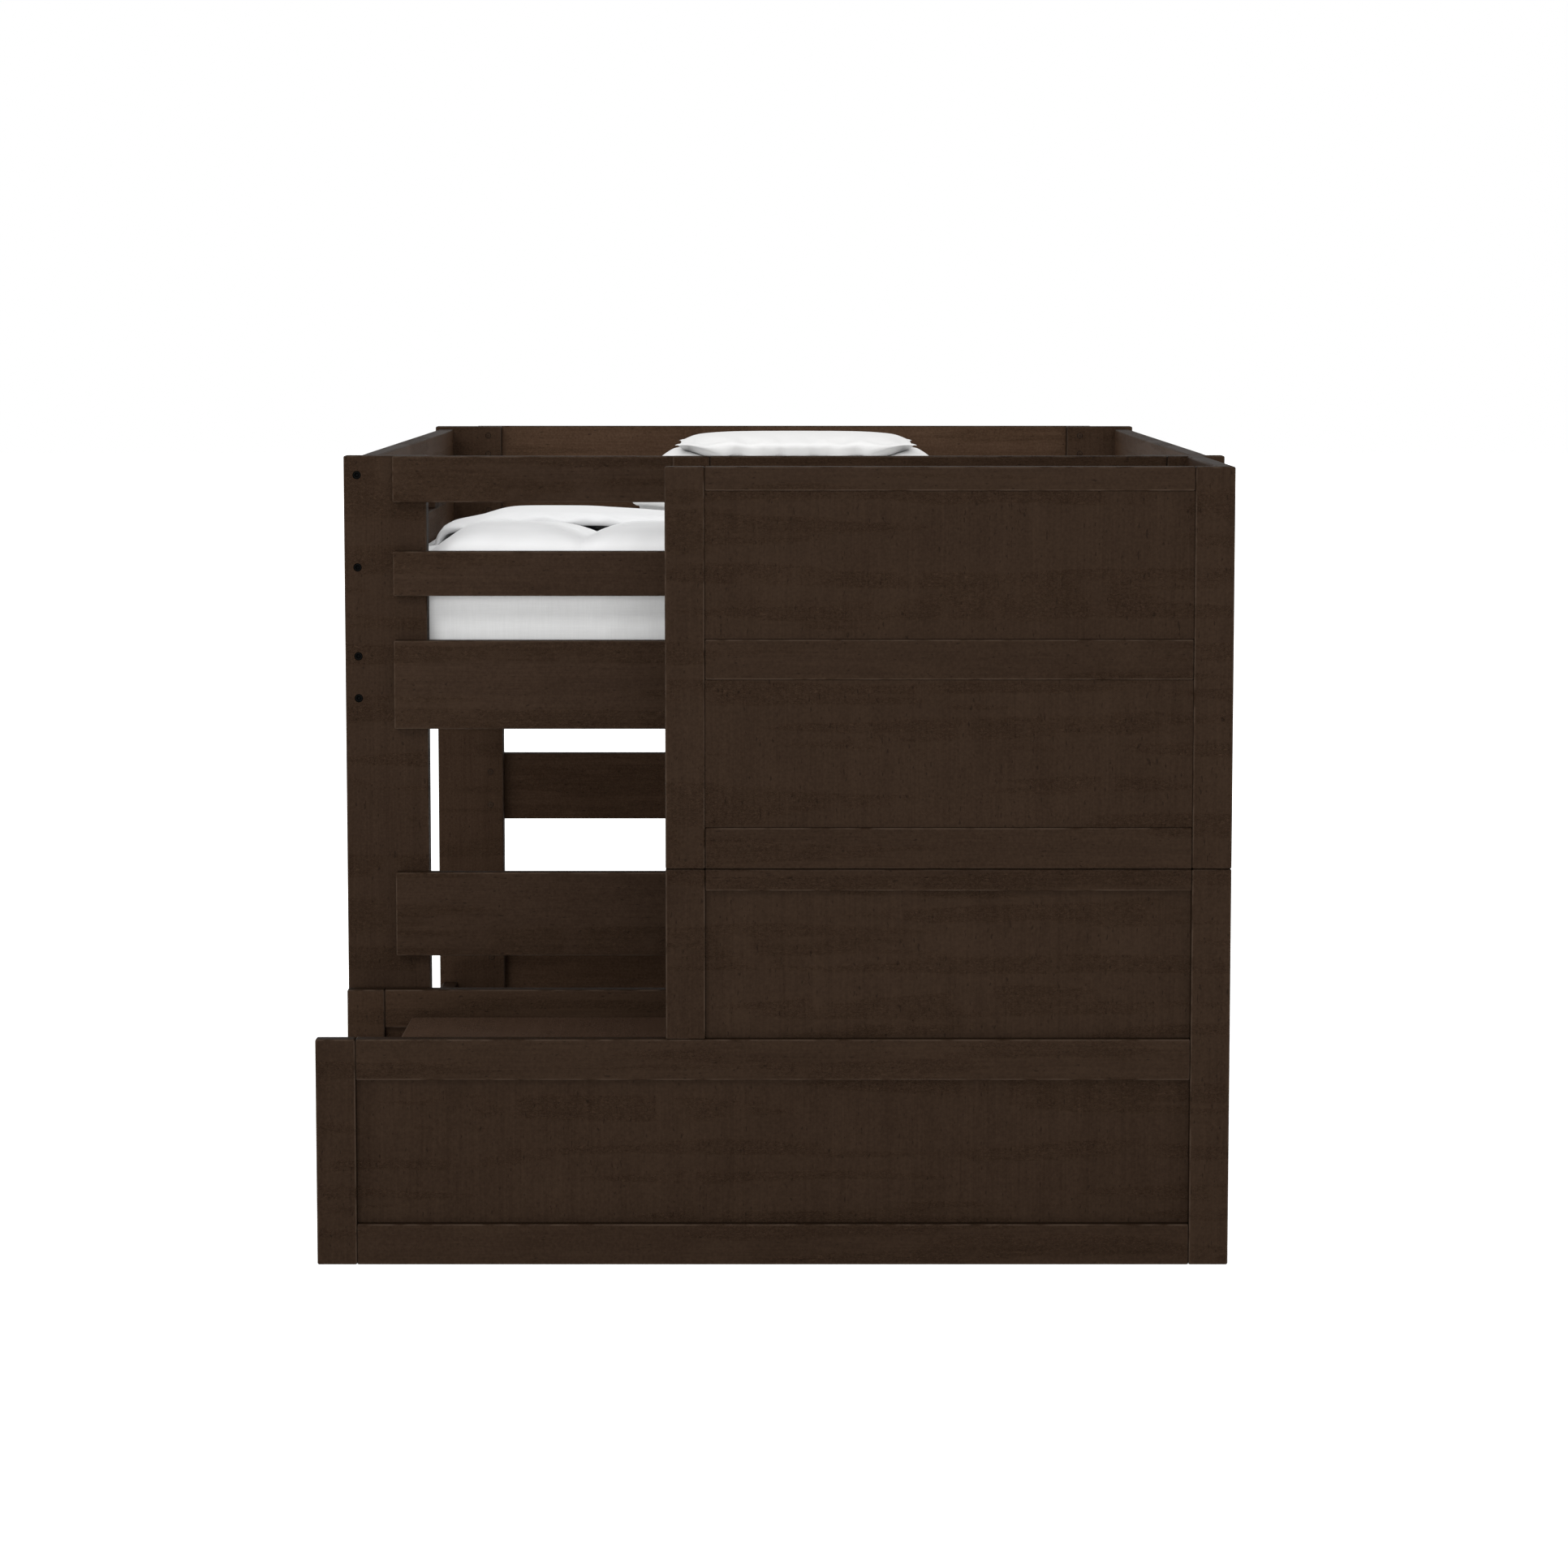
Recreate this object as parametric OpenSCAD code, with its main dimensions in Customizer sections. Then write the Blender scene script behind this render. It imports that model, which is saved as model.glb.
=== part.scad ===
// Low bunk bed with a stepped entry unit against its foot end.
// X runs across the bed, Y from the steps to the head end, Z up, all in millimetres.
// The origin is on the floor, under the middle of the whole object.

/* [Bed] */
// Width over the posts
bed_w = 1460; // [1420:5:1560]
// Height of the posts
bed_h = 1240; // [1236:1:1300]
// Clear length between the foot posts and the head posts
berth_l = 1920; // [1800:10:2100]
// Width of a post, across the bed
post_w = 137; // [120:1:150]
// Thickness of a post, along the bed
post_t = 45; // [40:1:60]

/* [Rails] */
// Thickness of the end rails, which lie on the outside of the posts
end_rail_t = 28; // [25:1:32]
// How far the end rails stop short of the posts' outer edges
end_rail_inset = 83; // [70:1:95]
// Thickness of the side rails, which run between the posts
side_rail_t = 30; // [26:1:36]
// How far the side rails sit inside the posts' outer edges
side_rail_inset = 7; // [2:1:12]

/* [Slats] */
// Slats in each berth
slat_count = 14; // [8:1:16]
// Width of a slat
slat_w = 90; // [60:1:100]
// Thickness of a slat
slat_t = 18; // [14:1:22]
// Height of the upper slats' top
upper_deck_z = 840; // [825:1:850]
// Height of the lower slats' top
lower_deck_z = 40; // [36:1:50]

/* [Step unit] */
// Depth of the step unit, along the bed
unit_d = 540; // [480:5:640]
// Left end of the low part, from the middle of the bed
unit_left = -727; // [-735:1:-700]
// Left end of the tall part, from the middle of the bed
tall_left = -183; // [-220:1:-160]
// Right end of the unit, from the middle of the bed
unit_right = 691; // [680:1:715]
// Width of the frames' stiles
stile_w = 61; // [50:1:70]
// Thickness of the frames
frame_t = 28; // [26:1:34]
// Height of the low part
low_h = 355; // [350:1:360]
// Height of the lower frame under the guard
base_h = 621; // [618:1:630]
// Height of the guard's top
guard_h = 1241; // [1230:1:1260]
// Height of the first tread's top
first_tread_z = 309; // [300:1:320]
// Rise from one tread to the next
tread_rise = 291; // [280:1:295]
// Thickness of the treads and risers
tread_t = 18; // [16:1:22]

/* [Bedding] */
// Mattress width
mattress_w = 1372; // [1340:2:1380]
// Mattress length
mattress_l = 1905; // [1780:5:1910]
// Mattress height
mattress_h = 200; // [150:5:210]
// Length of the duvet as it lies, from the foot of the mattress
duvet_l = 1255; // [1100:5:1300]

/* [Hidden] */

$fn = 48;
stain = "#33271f";
pale_slat = "#4a3a2e";
black_steel = "#151515";
zinc = "#9a9a98";
linen = "#eeeeec";

// Places along the bed, from the step unit's outer face to the head rails
total_l = unit_d + berth_l + 2 * (post_t + end_rail_t);
unit_y = -total_l / 2;
unit_back_y = unit_y + unit_d;
foot_post_y = unit_back_y + end_rail_t;
berth_y = foot_post_y + post_t;
berth_mid_y = berth_y + berth_l / 2;
half_berth = berth_l / 2;

// Places across the bed
half_w = bed_w / 2;
rail_x = half_w - side_rail_inset - side_rail_t;
bolt_x = rail_x + side_rail_t / 2;
end_rail_half = half_w - end_rail_inset;
screw_x = (half_w - post_w + end_rail_half) / 2;

// Heights of the rails, as [bottom, top]
end_top_z = [bed_h - 76, bed_h];
end_guard_z = [1009, 1083];
end_berth_z = [788, 935];
end_middle_z = [408, 548];
end_floor_z = [12, 152];
end_rails_z = [end_top_z, end_guard_z, end_berth_z, end_middle_z, end_floor_z];
side_top_z = [bed_h - 80, bed_h - 6];
side_guard_z = [1017, 1090];
side_berth_z = [800, 945];
side_floor_z = [0, 65];

// Heights of the bed bolts in each side rail
top_bolts = [bed_h - 32];
guard_bolts = [1055];
berth_bolts = [907, 837];
floor_bolts = [35];
all_bolts = concat(top_bolts, guard_bolts, berth_bolts, floor_bolts);

// M8 socket-head bed bolt, its holes, and the barrel nut that it pulls on
bolt_r = 4;
bolt_hole_r = 4.3;
bolt_head_r = 6.5;
bolt_head_l = 8;
bolt_sunk = 0.6;
bolt_pocket_r = 7;
socket_r = 3.5;
socket_l = 4;
nut_r = 7;
nut_hole_r = 7.15;
nut_l = 24;
nut_hole_l = 26;
nut_in = 28;
bolt_past_nut = 10;

// Screw through a post into an end rail
screw_r = 3;
screw_hole_r = 3.15;
screw_head_r = 6;
screw_head_l = 3;
screw_pocket_r = 6.2;
screw_pocket_l = 7;
plug_r = 6.1;
plug_l = 3.8;
screw_in_rail = 18;
screw_hole_in_rail = 20;

// Spacer blocks between the guard rails
spacer_w = 95;
spacer_from_post = 400;

// Bearers under the slats
ledger_w = 24;
ledger_h = 34;
beam_w = 70;
slat_gap = 3;

// Step unit: frame lines and panels
wide_rail = 64;
narrow_rail = 34;
guard_top_rail = 37;
guard_middle_z = [914, 976];
low_panel_recess = 14;
low_panel_t = 10;
guard_panel_recess = 4;
guard_panel_t = 20;
side_seam = 0.5;
frame_inner_y = unit_y + frame_t;
bed_side_y = unit_back_y - frame_t;
side_x = unit_right - frame_t;
left_rail_end = unit_left + stile_w + 1;
tall_rail_start = tall_left + stile_w;
right_rail_end = unit_right - stile_w;

// Step unit: treads, from the low one up
tread_edges = [unit_left + 106, tall_left, (tall_left + side_x) / 2];
nosing = 15;
cleat = 25;
unit_bolt_x = [tall_left + stile_w - 13, end_rail_half - 11];
unit_bolt_z = [478, 830];
unit_bolt_r = 3;
unit_bolt_hole_r = 3.2;
unit_bolt_head_r = 7;
unit_bolt_head_l = 4;
unit_bolt_l = frame_t + end_rail_t - 4;

// Bedding
mattress_corner_r = 60;
duvet_side_gap = 12;
duvet_h = 88;
fold_l = 330;
fold_h = 70;
bedding_z = upper_deck_z + mattress_h;
mattress_y = berth_mid_y - mattress_l / 2;
lower_pillow = [665, 420, 145];
upper_pillow = [495, 370, 52];
pillow_x = 24;
pillow_y = berth_mid_y + half_berth - 235;

// A straight board that fills the given ranges
module board(x, y, z) {
    translate([x[0], y[0], z[0]]) cube([x[1] - x[0], y[1] - y[0], z[1] - z[0]]);
}

// Round bar or hole along +Y from the given point
module rod(x, y, z, r, l) {
    translate([x, y, z]) rotate([-90, 0, 0]) cylinder(r = r, h = l);
}

// Puts a piece drawn for the foot end, about the middle of the berth, at the foot (0) or the head (1)
module at_end(head) {
    translate([0, berth_mid_y, 0]) mirror([0, head, 0]) children();
}

// Puts a piece drawn on the right at the right (0) or the left (1)
module on_side(left) {
    mirror([left, 0, 0]) children();
}

function spread(z) = [z[0] + (z[1] - z[0]) * 0.25, z[0] + (z[1] - z[0]) * 0.75];

// Post with its bolt holes and screw holes
module post() {
    outer_y = -half_berth - post_t;
    difference() {
        board([half_w - post_w, half_w], [outer_y, -half_berth], [0, bed_h]);
        for (z = all_bolts) {
            rod(bolt_x, outer_y - 1, z, bolt_hole_r, post_t + 2);
            rod(bolt_x, outer_y - 1, z, bolt_pocket_r, bolt_sunk + bolt_head_l + 1);
        }
        for (rail = end_rails_z, z = spread(rail)) {
            rod(screw_x, outer_y - 1, z, screw_hole_r, post_t + 2);
            rod(screw_x, -half_berth - screw_pocket_l, z, screw_pocket_r, screw_pocket_l + 1);
        }
    }
}

// Rail across an end, on the outside of the posts
module end_rail(z) {
    inner_y = -half_berth - post_t;
    difference() {
        board([-end_rail_half, end_rail_half], [inner_y - end_rail_t, inner_y], z);
        for (s = [-1, 1], hole_z = spread(z))
            rod(s * screw_x, inner_y - screw_hole_in_rail, hole_z, screw_hole_r, screw_hole_in_rail + 1);
    }
}

// End rail at the foot, with the holes for the bolts that hold the step unit
module foot_rail(z) {
    difference() {
        at_end(0) end_rail(z);
        for (x = unit_bolt_x, bolt_z = unit_bolt_z)
            rod(x, unit_back_y - 1, bolt_z, unit_bolt_hole_r, end_rail_t - 2);
    }
}

// Rail along a side, between the posts, with its bolt and barrel nut holes
module side_rail(z, bolts) {
    difference() {
        board([rail_x, rail_x + side_rail_t], [berth_y, berth_y + berth_l], z);
        for (head = [0, 1], bolt_z = bolts) at_end(head) {
            rod(bolt_x, -half_berth - 1, bolt_z, bolt_hole_r, nut_in + bolt_past_nut + 3);
            translate([rail_x - 1, -half_berth + nut_in, bolt_z])
                rotate([0, 90, 0]) cylinder(r = nut_hole_r, h = nut_hole_l + 1);
        }
    }
}

// Slats across a berth, their top at the given height
module slats(half_span, top_z) {
    pitch = (berth_l - 2 * slat_gap - slat_w) / (slat_count - 1);
    for (i = [0 : slat_count - 1])
        board([-half_span, half_span],
              [berth_y + slat_gap + i * pitch, berth_y + slat_gap + i * pitch + slat_w],
              [top_z - slat_t, top_z]);
}

// Frame boards lie between a face at y and y + frame_t
module upright(x, y, z) { board([x, x + stile_w], [y, y + frame_t], z); }
module cross_rail(x, y, z) { board(x, [y, y + frame_t], z); }

module lower_stiles(y) {
    board([unit_left, left_rail_end], [y, y + frame_t], [0, low_h]);
    upright(right_rail_end, y, [0, base_h]);
    upright(tall_left, y, [low_h, base_h]);
}

module lower_rails(y) {
    cross_rail([left_rail_end, right_rail_end], y, [0, wide_rail]);
    cross_rail([left_rail_end, right_rail_end], y, [low_h - wide_rail, low_h]);
    cross_rail([tall_rail_start, right_rail_end], y, [base_h - narrow_rail, base_h]);
}

module lower_panels(y) {
    face_y = y + low_panel_recess;
    board([left_rail_end, right_rail_end], [face_y, face_y + low_panel_t], [wide_rail, low_h - wide_rail]);
    board([tall_rail_start, right_rail_end], [face_y, face_y + low_panel_t], [low_h, base_h - narrow_rail]);
}

module guard_stiles(y) {
    for (x = [tall_left, right_rail_end]) upright(x, y, [base_h, guard_h]);
}

module guard_rails(y) {
    cross_rail([tall_rail_start, right_rail_end], y, [base_h, base_h + wide_rail]);
    cross_rail([tall_rail_start, right_rail_end], y, guard_middle_z);
    cross_rail([tall_rail_start, right_rail_end], y, [guard_h - guard_top_rail, guard_h]);
}

module guard_panels(y) {
    face_y = y + guard_panel_recess;
    for (z = [[base_h + wide_rail, guard_middle_z[0]], [guard_middle_z[1], guard_h - guard_top_rail]])
        board([tall_rail_start, right_rail_end], [face_y, face_y + guard_panel_t], z);
}

// Clears the bolts that pass through the bed-side frame
module with_unit_bolt_holes() {
    difference() {
        children();
        for (x = unit_bolt_x, z = unit_bolt_z)
            rod(x, bed_side_y - 1, z, unit_bolt_hole_r, frame_t + 2);
    }
}

// A tread, from its front edge to the next riser
module tread(i) {
    back_x = i < 2 ? tread_edges[i + 1] + nosing : side_x;
    top_z = first_tread_z + i * tread_rise;
    board([tread_edges[i], back_x], [frame_inner_y, bed_side_y], [top_z - tread_t, top_z]);
}

// Outline with round corners
module round_rect(w, d, r) {
    square([w - 2 * r, d], center = true);
    square([w, d - 2 * r], center = true);
    for (x = [-1, 1], y = [-1, 1]) translate([x * (w / 2 - r), y * (d / 2 - r)]) circle(r = r);
}

// Pillow of the given width, depth and height: widest at half its height, flat where it rests
module pillow(size) {
    hull() {
        linear_extrude(height = size[2]) square([size[0] * 0.78, size[1] * 0.68], center = true);
        translate([0, 0, size[2] * 0.3])
            linear_extrude(height = size[2] * 0.4) square([size[0], size[1]], center = true);
    }
}

// Posts
module foot_post_left() { color(stain) on_side(1) at_end(0) post(); }
module foot_post_right() { color(stain) on_side(0) at_end(0) post(); }
module head_post_left() { color(stain) on_side(1) at_end(1) post(); }
module head_post_right() { color(stain) on_side(0) at_end(1) post(); }

// End rails
module foot_rail_top() { color(stain) foot_rail(end_top_z); }
module foot_rail_guard() { color(stain) foot_rail(end_guard_z); }
module foot_rail_berth() { color(stain) foot_rail(end_berth_z); }
module foot_rail_middle() { color(stain) foot_rail(end_middle_z); }
module foot_rail_floor() { color(stain) foot_rail(end_floor_z); }
module head_rail_top() { color(stain) at_end(1) end_rail(end_top_z); }
module head_rail_guard() { color(stain) at_end(1) end_rail(end_guard_z); }
module head_rail_berth() { color(stain) at_end(1) end_rail(end_berth_z); }
module head_rail_middle() { color(stain) at_end(1) end_rail(end_middle_z); }
module head_rail_floor() { color(stain) at_end(1) end_rail(end_floor_z); }

// Side rails
module left_guard_top() { color(stain) on_side(1) side_rail(side_top_z, top_bolts); }
module left_guard_second() { color(stain) on_side(1) side_rail(side_guard_z, guard_bolts); }
module left_berth_rail() { color(stain) on_side(1) side_rail(side_berth_z, berth_bolts); }
module left_floor_rail() { color(stain) on_side(1) side_rail(side_floor_z, floor_bolts); }
module right_guard_top() { color(stain) on_side(0) side_rail(side_top_z, top_bolts); }
module right_guard_second() { color(stain) on_side(0) side_rail(side_guard_z, guard_bolts); }
module right_berth_rail() { color(stain) on_side(0) side_rail(side_berth_z, berth_bolts); }
module right_floor_rail() { color(stain) on_side(0) side_rail(side_floor_z, floor_bolts); }

// Blocks that tie the guard rails together
module guard_spacers() {
    start_y = -half_berth + spacer_from_post;
    color(stain)
        for (left = [0, 1], head = [0, 1]) on_side(left) at_end(head) {
            board([rail_x, rail_x + side_rail_t], [start_y, start_y + spacer_w], [side_berth_z[1], side_guard_z[0]]);
            board([rail_x, rail_x + side_rail_t], [start_y, start_y + spacer_w], [side_guard_z[1], side_top_z[0]]);
        }
}

// Ledgers on the berth rails, and a beam down the middle between the end rails
module upper_bearers() {
    top_z = upper_deck_z - slat_t;
    color(stain) {
        for (left = [0, 1]) on_side(left)
            board([rail_x - ledger_w, rail_x], [berth_y, berth_y + berth_l], [top_z - ledger_h, top_z]);
        board([-beam_w / 2, beam_w / 2], [foot_post_y, foot_post_y + berth_l + 2 * post_t], [top_z - ledger_h, top_z]);
    }
}

module upper_slats() { color(pale_slat) slats(rail_x - slat_gap, upper_deck_z); }

// Ledgers on the floor rails, and a runner down the middle
module lower_bearers() {
    top_z = lower_deck_z - slat_t;
    color(stain) {
        for (left = [0, 1]) on_side(left)
            board([rail_x - ledger_w, rail_x], [berth_y, berth_y + berth_l], [0, top_z]);
        board([-beam_w / 2, beam_w / 2], [berth_y, berth_y + berth_l], [0, top_z]);
    }
}

module lower_slats() { color(pale_slat) slats(rail_x - slat_gap, lower_deck_z); }

module bed_bolts() {
    head_y = -half_berth - post_t + bolt_sunk;
    shank_l = post_t - bolt_sunk - bolt_head_l + nut_in + bolt_past_nut;
    color(black_steel)
        for (left = [0, 1], head = [0, 1], z = all_bolts) on_side(left) at_end(head) difference() {
            union() {
                rod(bolt_x, head_y, z, bolt_head_r, bolt_head_l);
                rod(bolt_x, head_y + bolt_head_l, z, bolt_r, shank_l);
            }
            translate([bolt_x, head_y - 1, z]) rotate([-90, 0, 0]) cylinder(r = socket_r, h = socket_l + 1, $fn = 6);
        }
}

module barrel_nuts() {
    color(zinc)
        for (left = [0, 1], head = [0, 1], z = all_bolts) on_side(left) at_end(head) difference() {
            translate([bolt_x - nut_l / 2, -half_berth + nut_in, z])
                rotate([0, 90, 0]) cylinder(r = nut_r, h = nut_l);
            rod(bolt_x, -half_berth, z, bolt_r + 0.1, nut_in + nut_r + 1);
        }
}

// Stained wooden plugs over the screw heads, flush with the posts
module screw_plugs() {
    color(stain)
        for (left = [0, 1], head = [0, 1], rail = end_rails_z, z = spread(rail)) on_side(left) at_end(head)
            rod(screw_x, -half_berth - plug_l, z, plug_r, plug_l);
}

module rail_screws() {
    head_y = -half_berth - screw_pocket_l;
    shank_l = post_t - screw_pocket_l + screw_in_rail;
    color(zinc)
        for (left = [0, 1], head = [0, 1], rail = end_rails_z, z = spread(rail)) on_side(left) at_end(head) {
            rod(screw_x, head_y, z, screw_head_r, screw_head_l);
            rod(screw_x, head_y - shank_l, z, screw_r, shank_l);
        }
}

// Step unit, outer frame
module outer_stile_left() { color(stain) board([unit_left, left_rail_end], [unit_y, frame_inner_y], [0, low_h]); }
module outer_stile_right() { color(stain) upright(right_rail_end, unit_y, [0, base_h]); }
module outer_stile_short() { color(stain) upright(tall_left, unit_y, [low_h, base_h]); }
module outer_rail_bottom() {
    color(stain) cross_rail([left_rail_end, right_rail_end], unit_y, [0, wide_rail]);
}
module outer_rail_middle() {
    color(stain) cross_rail([left_rail_end, right_rail_end], unit_y, [low_h - wide_rail, low_h]);
}
module outer_rail_top() {
    color(stain) cross_rail([tall_rail_start, right_rail_end], unit_y, [base_h - narrow_rail, base_h]);
}
module outer_panels() { color(stain) lower_panels(unit_y); }
module outer_guard_stiles() { color(stain) guard_stiles(unit_y); }
module outer_guard_rails() { color(stain) guard_rails(unit_y); }
module outer_guard_panels() { color(stain) guard_panels(unit_y); }

// Step unit, bed-side frame, made as the outer one and bolted to the foot rails
module inner_stiles() { color(stain) with_unit_bolt_holes() lower_stiles(bed_side_y); }
module inner_rails() { color(stain) lower_rails(bed_side_y); }
module inner_panels() { color(stain) lower_panels(bed_side_y); }
module inner_guard_stiles() { color(stain) with_unit_bolt_holes() guard_stiles(bed_side_y); }
module inner_guard_rails() { color(stain) guard_rails(bed_side_y); }
module inner_guard_panels() { color(stain) guard_panels(bed_side_y); }

// Step unit, closed right side, between the two frames
module side_stiles() {
    color(stain)
        for (y = [[frame_inner_y, frame_inner_y + stile_w], [bed_side_y - stile_w, bed_side_y]],
             z = [[0, base_h], [base_h + side_seam, guard_h]])
            board([side_x, unit_right], y, z);
}

module side_rails() {
    span = [frame_inner_y + stile_w, bed_side_y - stile_w];
    color(stain)
        for (z = [[0, wide_rail], [low_h - wide_rail, low_h], [base_h - narrow_rail, base_h],
                  [base_h + side_seam, base_h + wide_rail], guard_middle_z, [guard_h - guard_top_rail, guard_h]])
            board([side_x, unit_right], span, z);
}

module side_panels() {
    span = [frame_inner_y + stile_w, bed_side_y - stile_w];
    outer_x = unit_right - low_panel_recess;
    guard_x = unit_right - guard_panel_recess;
    color(stain) {
        for (z = [[wide_rail, low_h - wide_rail], [low_h, base_h - narrow_rail]])
            board([outer_x - low_panel_t, outer_x], span, z);
        for (z = [[base_h + wide_rail, guard_middle_z[0]], [guard_middle_z[1], guard_h - guard_top_rail]])
            board([guard_x - guard_panel_t, guard_x], span, z);
    }
}

// Step unit, treads and what carries them
module tread_low() { color(stain) tread(0); }
module tread_middle() { color(stain) tread(1); }
module tread_top() { color(stain) tread(2); }

module risers() {
    color(stain)
        for (i = [0 : 2])
            board([tread_edges[i] + nosing, tread_edges[i] + nosing + tread_t], [frame_inner_y, bed_side_y],
                  [0, first_tread_z + i * tread_rise - tread_t]);
}

module tread_cleats() {
    color(stain)
        for (i = [0 : 2]) {
            back_x = i < 2 ? tread_edges[i + 1] + nosing : side_x;
            top_z = first_tread_z + i * tread_rise - tread_t;
            board([back_x - cleat, back_x], [frame_inner_y, bed_side_y], [top_z - cleat, top_z]);
        }
}

module unit_bolts() {
    color(black_steel)
        for (x = unit_bolt_x, z = unit_bolt_z) {
            rod(x, bed_side_y - unit_bolt_head_l, z, unit_bolt_head_r, unit_bolt_head_l);
            rod(x, bed_side_y, z, unit_bolt_r, unit_bolt_l);
        }
}

// Bedding
module mattress() {
    color(linen) translate([0, berth_mid_y, upper_deck_z])
        linear_extrude(height = mattress_h) round_rect(mattress_w, mattress_l, mattress_corner_r);
}

module duvet() {
    half = mattress_w / 2 - duvet_side_gap;
    end_y = mattress_y + duvet_l;
    color(linen) {
        board([-half, half], [mattress_y, end_y - fold_l], [bedding_z, bedding_z + duvet_h]);
        board([-half, half], [end_y - fold_l, end_y], [bedding_z, bedding_z + fold_h]);
    }
}

module pillow_lower() {
    color(linen) translate([pillow_x, pillow_y, bedding_z]) pillow(lower_pillow);
}

module pillow_upper() {
    color(linen) translate([pillow_x, pillow_y, bedding_z + lower_pillow[2]]) pillow(upper_pillow);
}

foot_post_left();
foot_post_right();
head_post_left();
head_post_right();
foot_rail_top();
foot_rail_guard();
foot_rail_berth();
foot_rail_middle();
foot_rail_floor();
head_rail_top();
head_rail_guard();
head_rail_berth();
head_rail_middle();
head_rail_floor();
left_guard_top();
left_guard_second();
left_berth_rail();
left_floor_rail();
right_guard_top();
right_guard_second();
right_berth_rail();
right_floor_rail();
guard_spacers();
upper_bearers();
upper_slats();
lower_bearers();
lower_slats();
bed_bolts();
barrel_nuts();
rail_screws();
screw_plugs();
outer_stile_left();
outer_stile_right();
outer_stile_short();
outer_rail_bottom();
outer_rail_middle();
outer_rail_top();
outer_panels();
outer_guard_stiles();
outer_guard_rails();
outer_guard_panels();
inner_stiles();
inner_rails();
inner_panels();
inner_guard_stiles();
inner_guard_rails();
inner_guard_panels();
side_stiles();
side_rails();
side_panels();
tread_low();
tread_middle();
tread_top();
risers();
tread_cleats();
unit_bolts();
mattress();
duvet();
pillow_lower();
pillow_upper();
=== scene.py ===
"""A low bunk bed in dark stained timber, with a step unit at its foot end and white bedding above."""
import math
import random

import bmesh
import bpy
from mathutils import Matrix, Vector
from mathutils.bvhtree import BVHTree


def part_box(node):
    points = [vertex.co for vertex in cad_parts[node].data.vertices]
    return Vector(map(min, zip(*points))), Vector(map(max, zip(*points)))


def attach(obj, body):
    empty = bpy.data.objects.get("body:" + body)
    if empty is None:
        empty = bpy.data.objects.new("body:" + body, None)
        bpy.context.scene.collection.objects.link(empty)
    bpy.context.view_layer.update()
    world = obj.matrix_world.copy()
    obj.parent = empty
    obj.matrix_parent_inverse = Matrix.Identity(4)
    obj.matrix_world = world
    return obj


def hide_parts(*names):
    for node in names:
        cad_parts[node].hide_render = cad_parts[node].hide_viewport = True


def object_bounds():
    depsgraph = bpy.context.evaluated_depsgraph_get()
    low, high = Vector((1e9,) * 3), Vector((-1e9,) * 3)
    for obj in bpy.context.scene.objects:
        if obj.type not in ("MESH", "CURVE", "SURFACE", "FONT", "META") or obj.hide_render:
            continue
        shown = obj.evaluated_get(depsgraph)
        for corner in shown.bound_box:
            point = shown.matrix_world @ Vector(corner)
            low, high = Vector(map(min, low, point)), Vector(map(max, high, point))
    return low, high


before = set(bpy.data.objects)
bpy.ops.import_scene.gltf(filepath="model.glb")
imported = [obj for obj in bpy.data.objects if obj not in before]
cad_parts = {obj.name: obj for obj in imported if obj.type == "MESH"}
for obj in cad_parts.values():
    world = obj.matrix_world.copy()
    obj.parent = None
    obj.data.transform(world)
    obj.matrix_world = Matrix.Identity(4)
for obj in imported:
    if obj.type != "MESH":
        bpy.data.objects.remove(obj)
cad_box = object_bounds()

# ---- Camera, floor and light ----
# A studio set: a white floor, a white surround, a soft box high on the left, and a wide lit wall in
# front, so far off that the head end gets almost as much of its light as the foot end.
# The camera looks along the bed from the foot end, a little above the guard rails.

CAMERA_HEIGHT = 1.469
CAMERA_CLEARANCE = 6.811
CAMERA_DOWN = 6.0
FIELD_OF_VIEW = 20.0
FLOOR_HALF = 40.0
LAMPS_AIM = Vector((0.0, 0.0, 0.8))


def in_scene(name, data):
    """An object made of some data, at the origin, linked into the scene."""
    made = bpy.data.objects.new(name, data)
    bpy.context.scene.collection.objects.link(made)
    return made


def mesh_of(name, points, faces):
    mesh = bpy.data.meshes.new(name)
    mesh.from_pydata(points, [], faces)
    return mesh


front_y = cad_box[0][1]
camera = bpy.data.cameras.new("camera")
camera.sensor_width = 36.0
camera.angle = math.radians(FIELD_OF_VIEW)
camera_object = in_scene("camera", camera)
camera_object.location = (0.0, front_y - CAMERA_CLEARANCE, CAMERA_HEIGHT)
camera_object.rotation_euler = (math.radians(90.0 - CAMERA_DOWN), 0.0, 0.0)
bpy.context.scene.camera = camera_object


class Value:
    """A number on a material's node tree: arithmetic on it adds Math nodes."""

    def __init__(self, finish, socket):
        self.finish = finish
        self.socket = socket

    def _maths(self, operation, *terms):
        return self.finish.node("ShaderNodeMath", {"operation": operation}, dict(enumerate(terms)))

    def __add__(self, other):
        return self._maths("ADD", self, other)

    def __radd__(self, other):
        return self._maths("ADD", other, self)

    def __sub__(self, other):
        return self._maths("SUBTRACT", self, other)

    def __rsub__(self, other):
        return self._maths("SUBTRACT", other, self)

    def __mul__(self, other):
        return self._maths("MULTIPLY", self, other)

    def __rmul__(self, other):
        return self._maths("MULTIPLY", other, self)


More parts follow.
